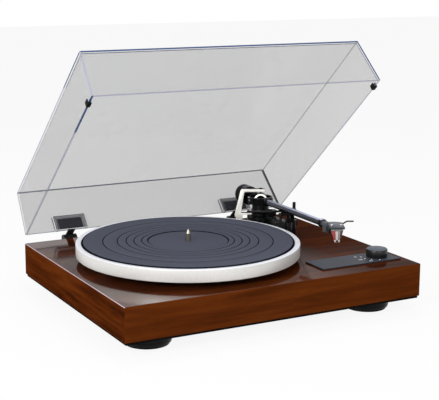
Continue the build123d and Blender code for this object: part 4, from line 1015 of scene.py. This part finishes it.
# counterweight with fine grips, one deeper line and a painted highlight on its top
weight = {"front": -0.034, "back": -0.058, "radius": 0.0143, "bore": 0.00805, "round": 0.0012, "grips": 6,
          "gripFrom": -0.055, "gripTo": -0.045, "grip": 0.0003, "lit": 0.86,
          "line": ((0, -0.0405), (0.0005, -0.0402), (0.0005, -0.0398), (0, -0.0395))}
r, step = weight["radius"], (weight["gripTo"] - weight["gripFrom"]) / weight["grips"]
gripFloor, smaller = r - weight["grip"], r - weight["round"]
profile = [(weight["bore"], weight["back"]), (smaller, weight["back"]), (r, weight["back"] + weight["round"])]
for index in range(weight["grips"]):
    x = weight["gripFrom"] + index * step
    profile += [(r, x), (gripFloor, x + step * 0.25), (gripFloor, x + step * 0.5), (r, x + step * 0.75)]
profile += [(r - depth, x) for depth, x in weight["line"]]
profile += [(r, weight["front"] - weight["round"]), (smaller, weight["front"])]
profile += [(weight["bore"], weight["front"])]
shape = turnedShape(profile, 96, armPlace @ alongX)
paintFaces(shape, 1, lambda face: face.normal.z > weight["lit"])
finishes = "glossBlackPaint paintHighlight"
finishPiece(shape, "balanceWeight", finishes, "weight", ["counterweight"], 30)

# anti-skating dial with a white line, a painted highlight
dialLow, dialHigh = heightsOf("antiskate_dial")
dial = {"radius": 0.0068, "bottom": 0.0930, "grips": 28, "grip": 0.0004, "pin": 0.002, "near": 0.0001,
        "round": 0.0006, "lineHalf": 0.0004, "lineFront": 0.0012, "lineBack": -0.0025, "lineProud": 0.00001,
        "lineRound": 0.00004}
shape = bmesh.new()
made = bmesh.ops.create_circle(shape, cap_ends=True, radius=dial["radius"], segments=dial["grips"] * 2)
for v in made["verts"][1::2]:
    v.co *= 1 - dial["grip"] / dial["radius"]
bmesh.ops.translate(shape, vec=(0, 0, dial["bottom"]), verts=shape.verts)
raiseFaces(shape, dialHigh - dial["bottom"])
rim = [e for e in hardEdges(shape, 60) if min(v.co.z for v in e.verts) > dialHigh - dial["near"]]
roundEdges(shape, rim, dial["round"], 2)
addMeshTo(shape, turnedShape(rectangle(0, dialLow, dial["pin"], dial["bottom"]), 32))
line = roundedBox(
    (-dial["lineHalf"], dial["lineFront"] - dial["radius"], dialHigh - dial["near"]),
    (dial["lineHalf"], dial["lineBack"], dialHigh + dial["lineProud"]), dial["lineRound"],
)
paintFaces(line, 1)
addMeshTo(shape, line)
put(shape, at(*middleOf("antiskate_dial").xy))
finishPiece(shape, "skateDial", "glossBlackPaint printedMarks", "dial", ["antiskate_dial"], 25)

# arm rest, lift and cue lever
softened("arm_rest", 0.0003, "glossBlackPaint", "base")
softened("lift_cylinder", 0.0004, "glossBlackPaint", "base")
softened("rest_clip", 0.0003, "satinBlackPaint", "clip")
softened("lift_bar", 0.0004, "satinBlackPaint", "lift")
softened("cue_lever", 0.0005, "satinBlackPaint", "lever")
print("arm done")


# 1 where the picture, a shiny surface or a clear one sees the surroundings
def seenDirectly(tree):
    path = addNode(tree, "LightPath")
    both = combine(tree, "MAXIMUM", path.outputs["Is Camera Ray"], path.outputs["Is Transmission Ray"])
    return combine(tree, "MAXIMUM", both, path.outputs["Is Glossy Ray"])


# floor, white where it is seen directly
floorGlow = {"tone": 0.86, "share": 0.9, "size": 6, "roughness": 0.9}
floorMesh = bmesh.new()
bmesh.ops.create_grid(floorMesh, x_segments=1, y_segments=1, size=floorGlow["size"])
mesh = bpy.data.meshes.new("floor")
floorMesh.to_mesh(mesh)
floorMesh.free()
floor = bpy.data.objects.new("floor", mesh)
scene.collection.objects.link(floor)
tree, shader = startMaterial("paleFloor", grey(floorGlow["tone"]), floorGlow["roughness"], specular=0.1)
glow = addNode(tree, "Emission", Strength=1.0)
mixed = addNode(tree, "MixShader")
tree.links.new(combine(tree, "MULTIPLY", seenDirectly(tree), floorGlow["share"]), mixed.inputs[0])
tree.links.new(shader.outputs[0], mixed.inputs[1])
tree.links.new(glow.outputs[0], mixed.inputs[2])
tree.links.new(mixed.outputs[0], tree.nodes["Material Output"].inputs["Surface"])
mesh.materials.append(bpy.data.materials["paleFloor"])
floor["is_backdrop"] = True

# surroundings, brighter where they are seen directly
studio = {"plain": 0.45, "seen": 1.0}
world = bpy.data.worlds.new("studio")
scene.world = world
world.use_nodes = True
tree = world.node_tree
tree.nodes.clear()
background = addNode(tree, "Background", Color=(1, 1, 1, 1))
strength = spread(tree, seenDirectly(tree), 0, 1, studio["plain"], studio["seen"])
tree.links.new(strength, background.inputs["Strength"])
output = addNode(tree, "OutputWorld")
tree.links.new(background.outputs[0], output.inputs["Surface"])

# place, size and power of each lamp; all look at the middle of the plinth
lamps = {
    "keyLamp": ((-1.5, -0.9, 0.9), 0.9, 24),
    "frontLamp": ((0.1, -1.9, 0.9), 0.8, 10),
    "topLamp": ((0.1, 0.3, 1.6), 0.4, 6),
}
lampTarget = Vector((0, 0, 0.06))
for name, (place, size, power) in lamps.items():
    lamp = bpy.data.lights.new(name, "AREA")
    lamp.shape = "RECTANGLE"
    lamp.size = size
    lamp.size_y = size
    lamp.energy = power
    holder = bpy.data.objects.new(name, lamp)
    holder.location = place
    holder.rotation_euler = (lampTarget - Vector(place)).to_track_quat("-Z", "Y").to_euler()
    holder.visible_camera = False
    scene.collection.objects.link(holder)

# camera, fitted to the photo
view = {"place": (-0.748389, -1.408275, 0.472052), "turn": (1.363283, -0.00569114, -0.49750152),
        "lens": 95.79, "sensor": 36, "near": 0.05}
cameraData = bpy.data.cameras.new("photoCamera")
cameraData.lens = view["lens"]
cameraData.sensor_width = view["sensor"]
cameraData.clip_start = view["near"]
camera = bpy.data.objects.new("photoCamera", cameraData)
camera.location = view["place"]
camera.rotation_euler = view["turn"]
scene.collection.objects.link(camera)
scene.camera = camera
print("stage done")

low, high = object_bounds()
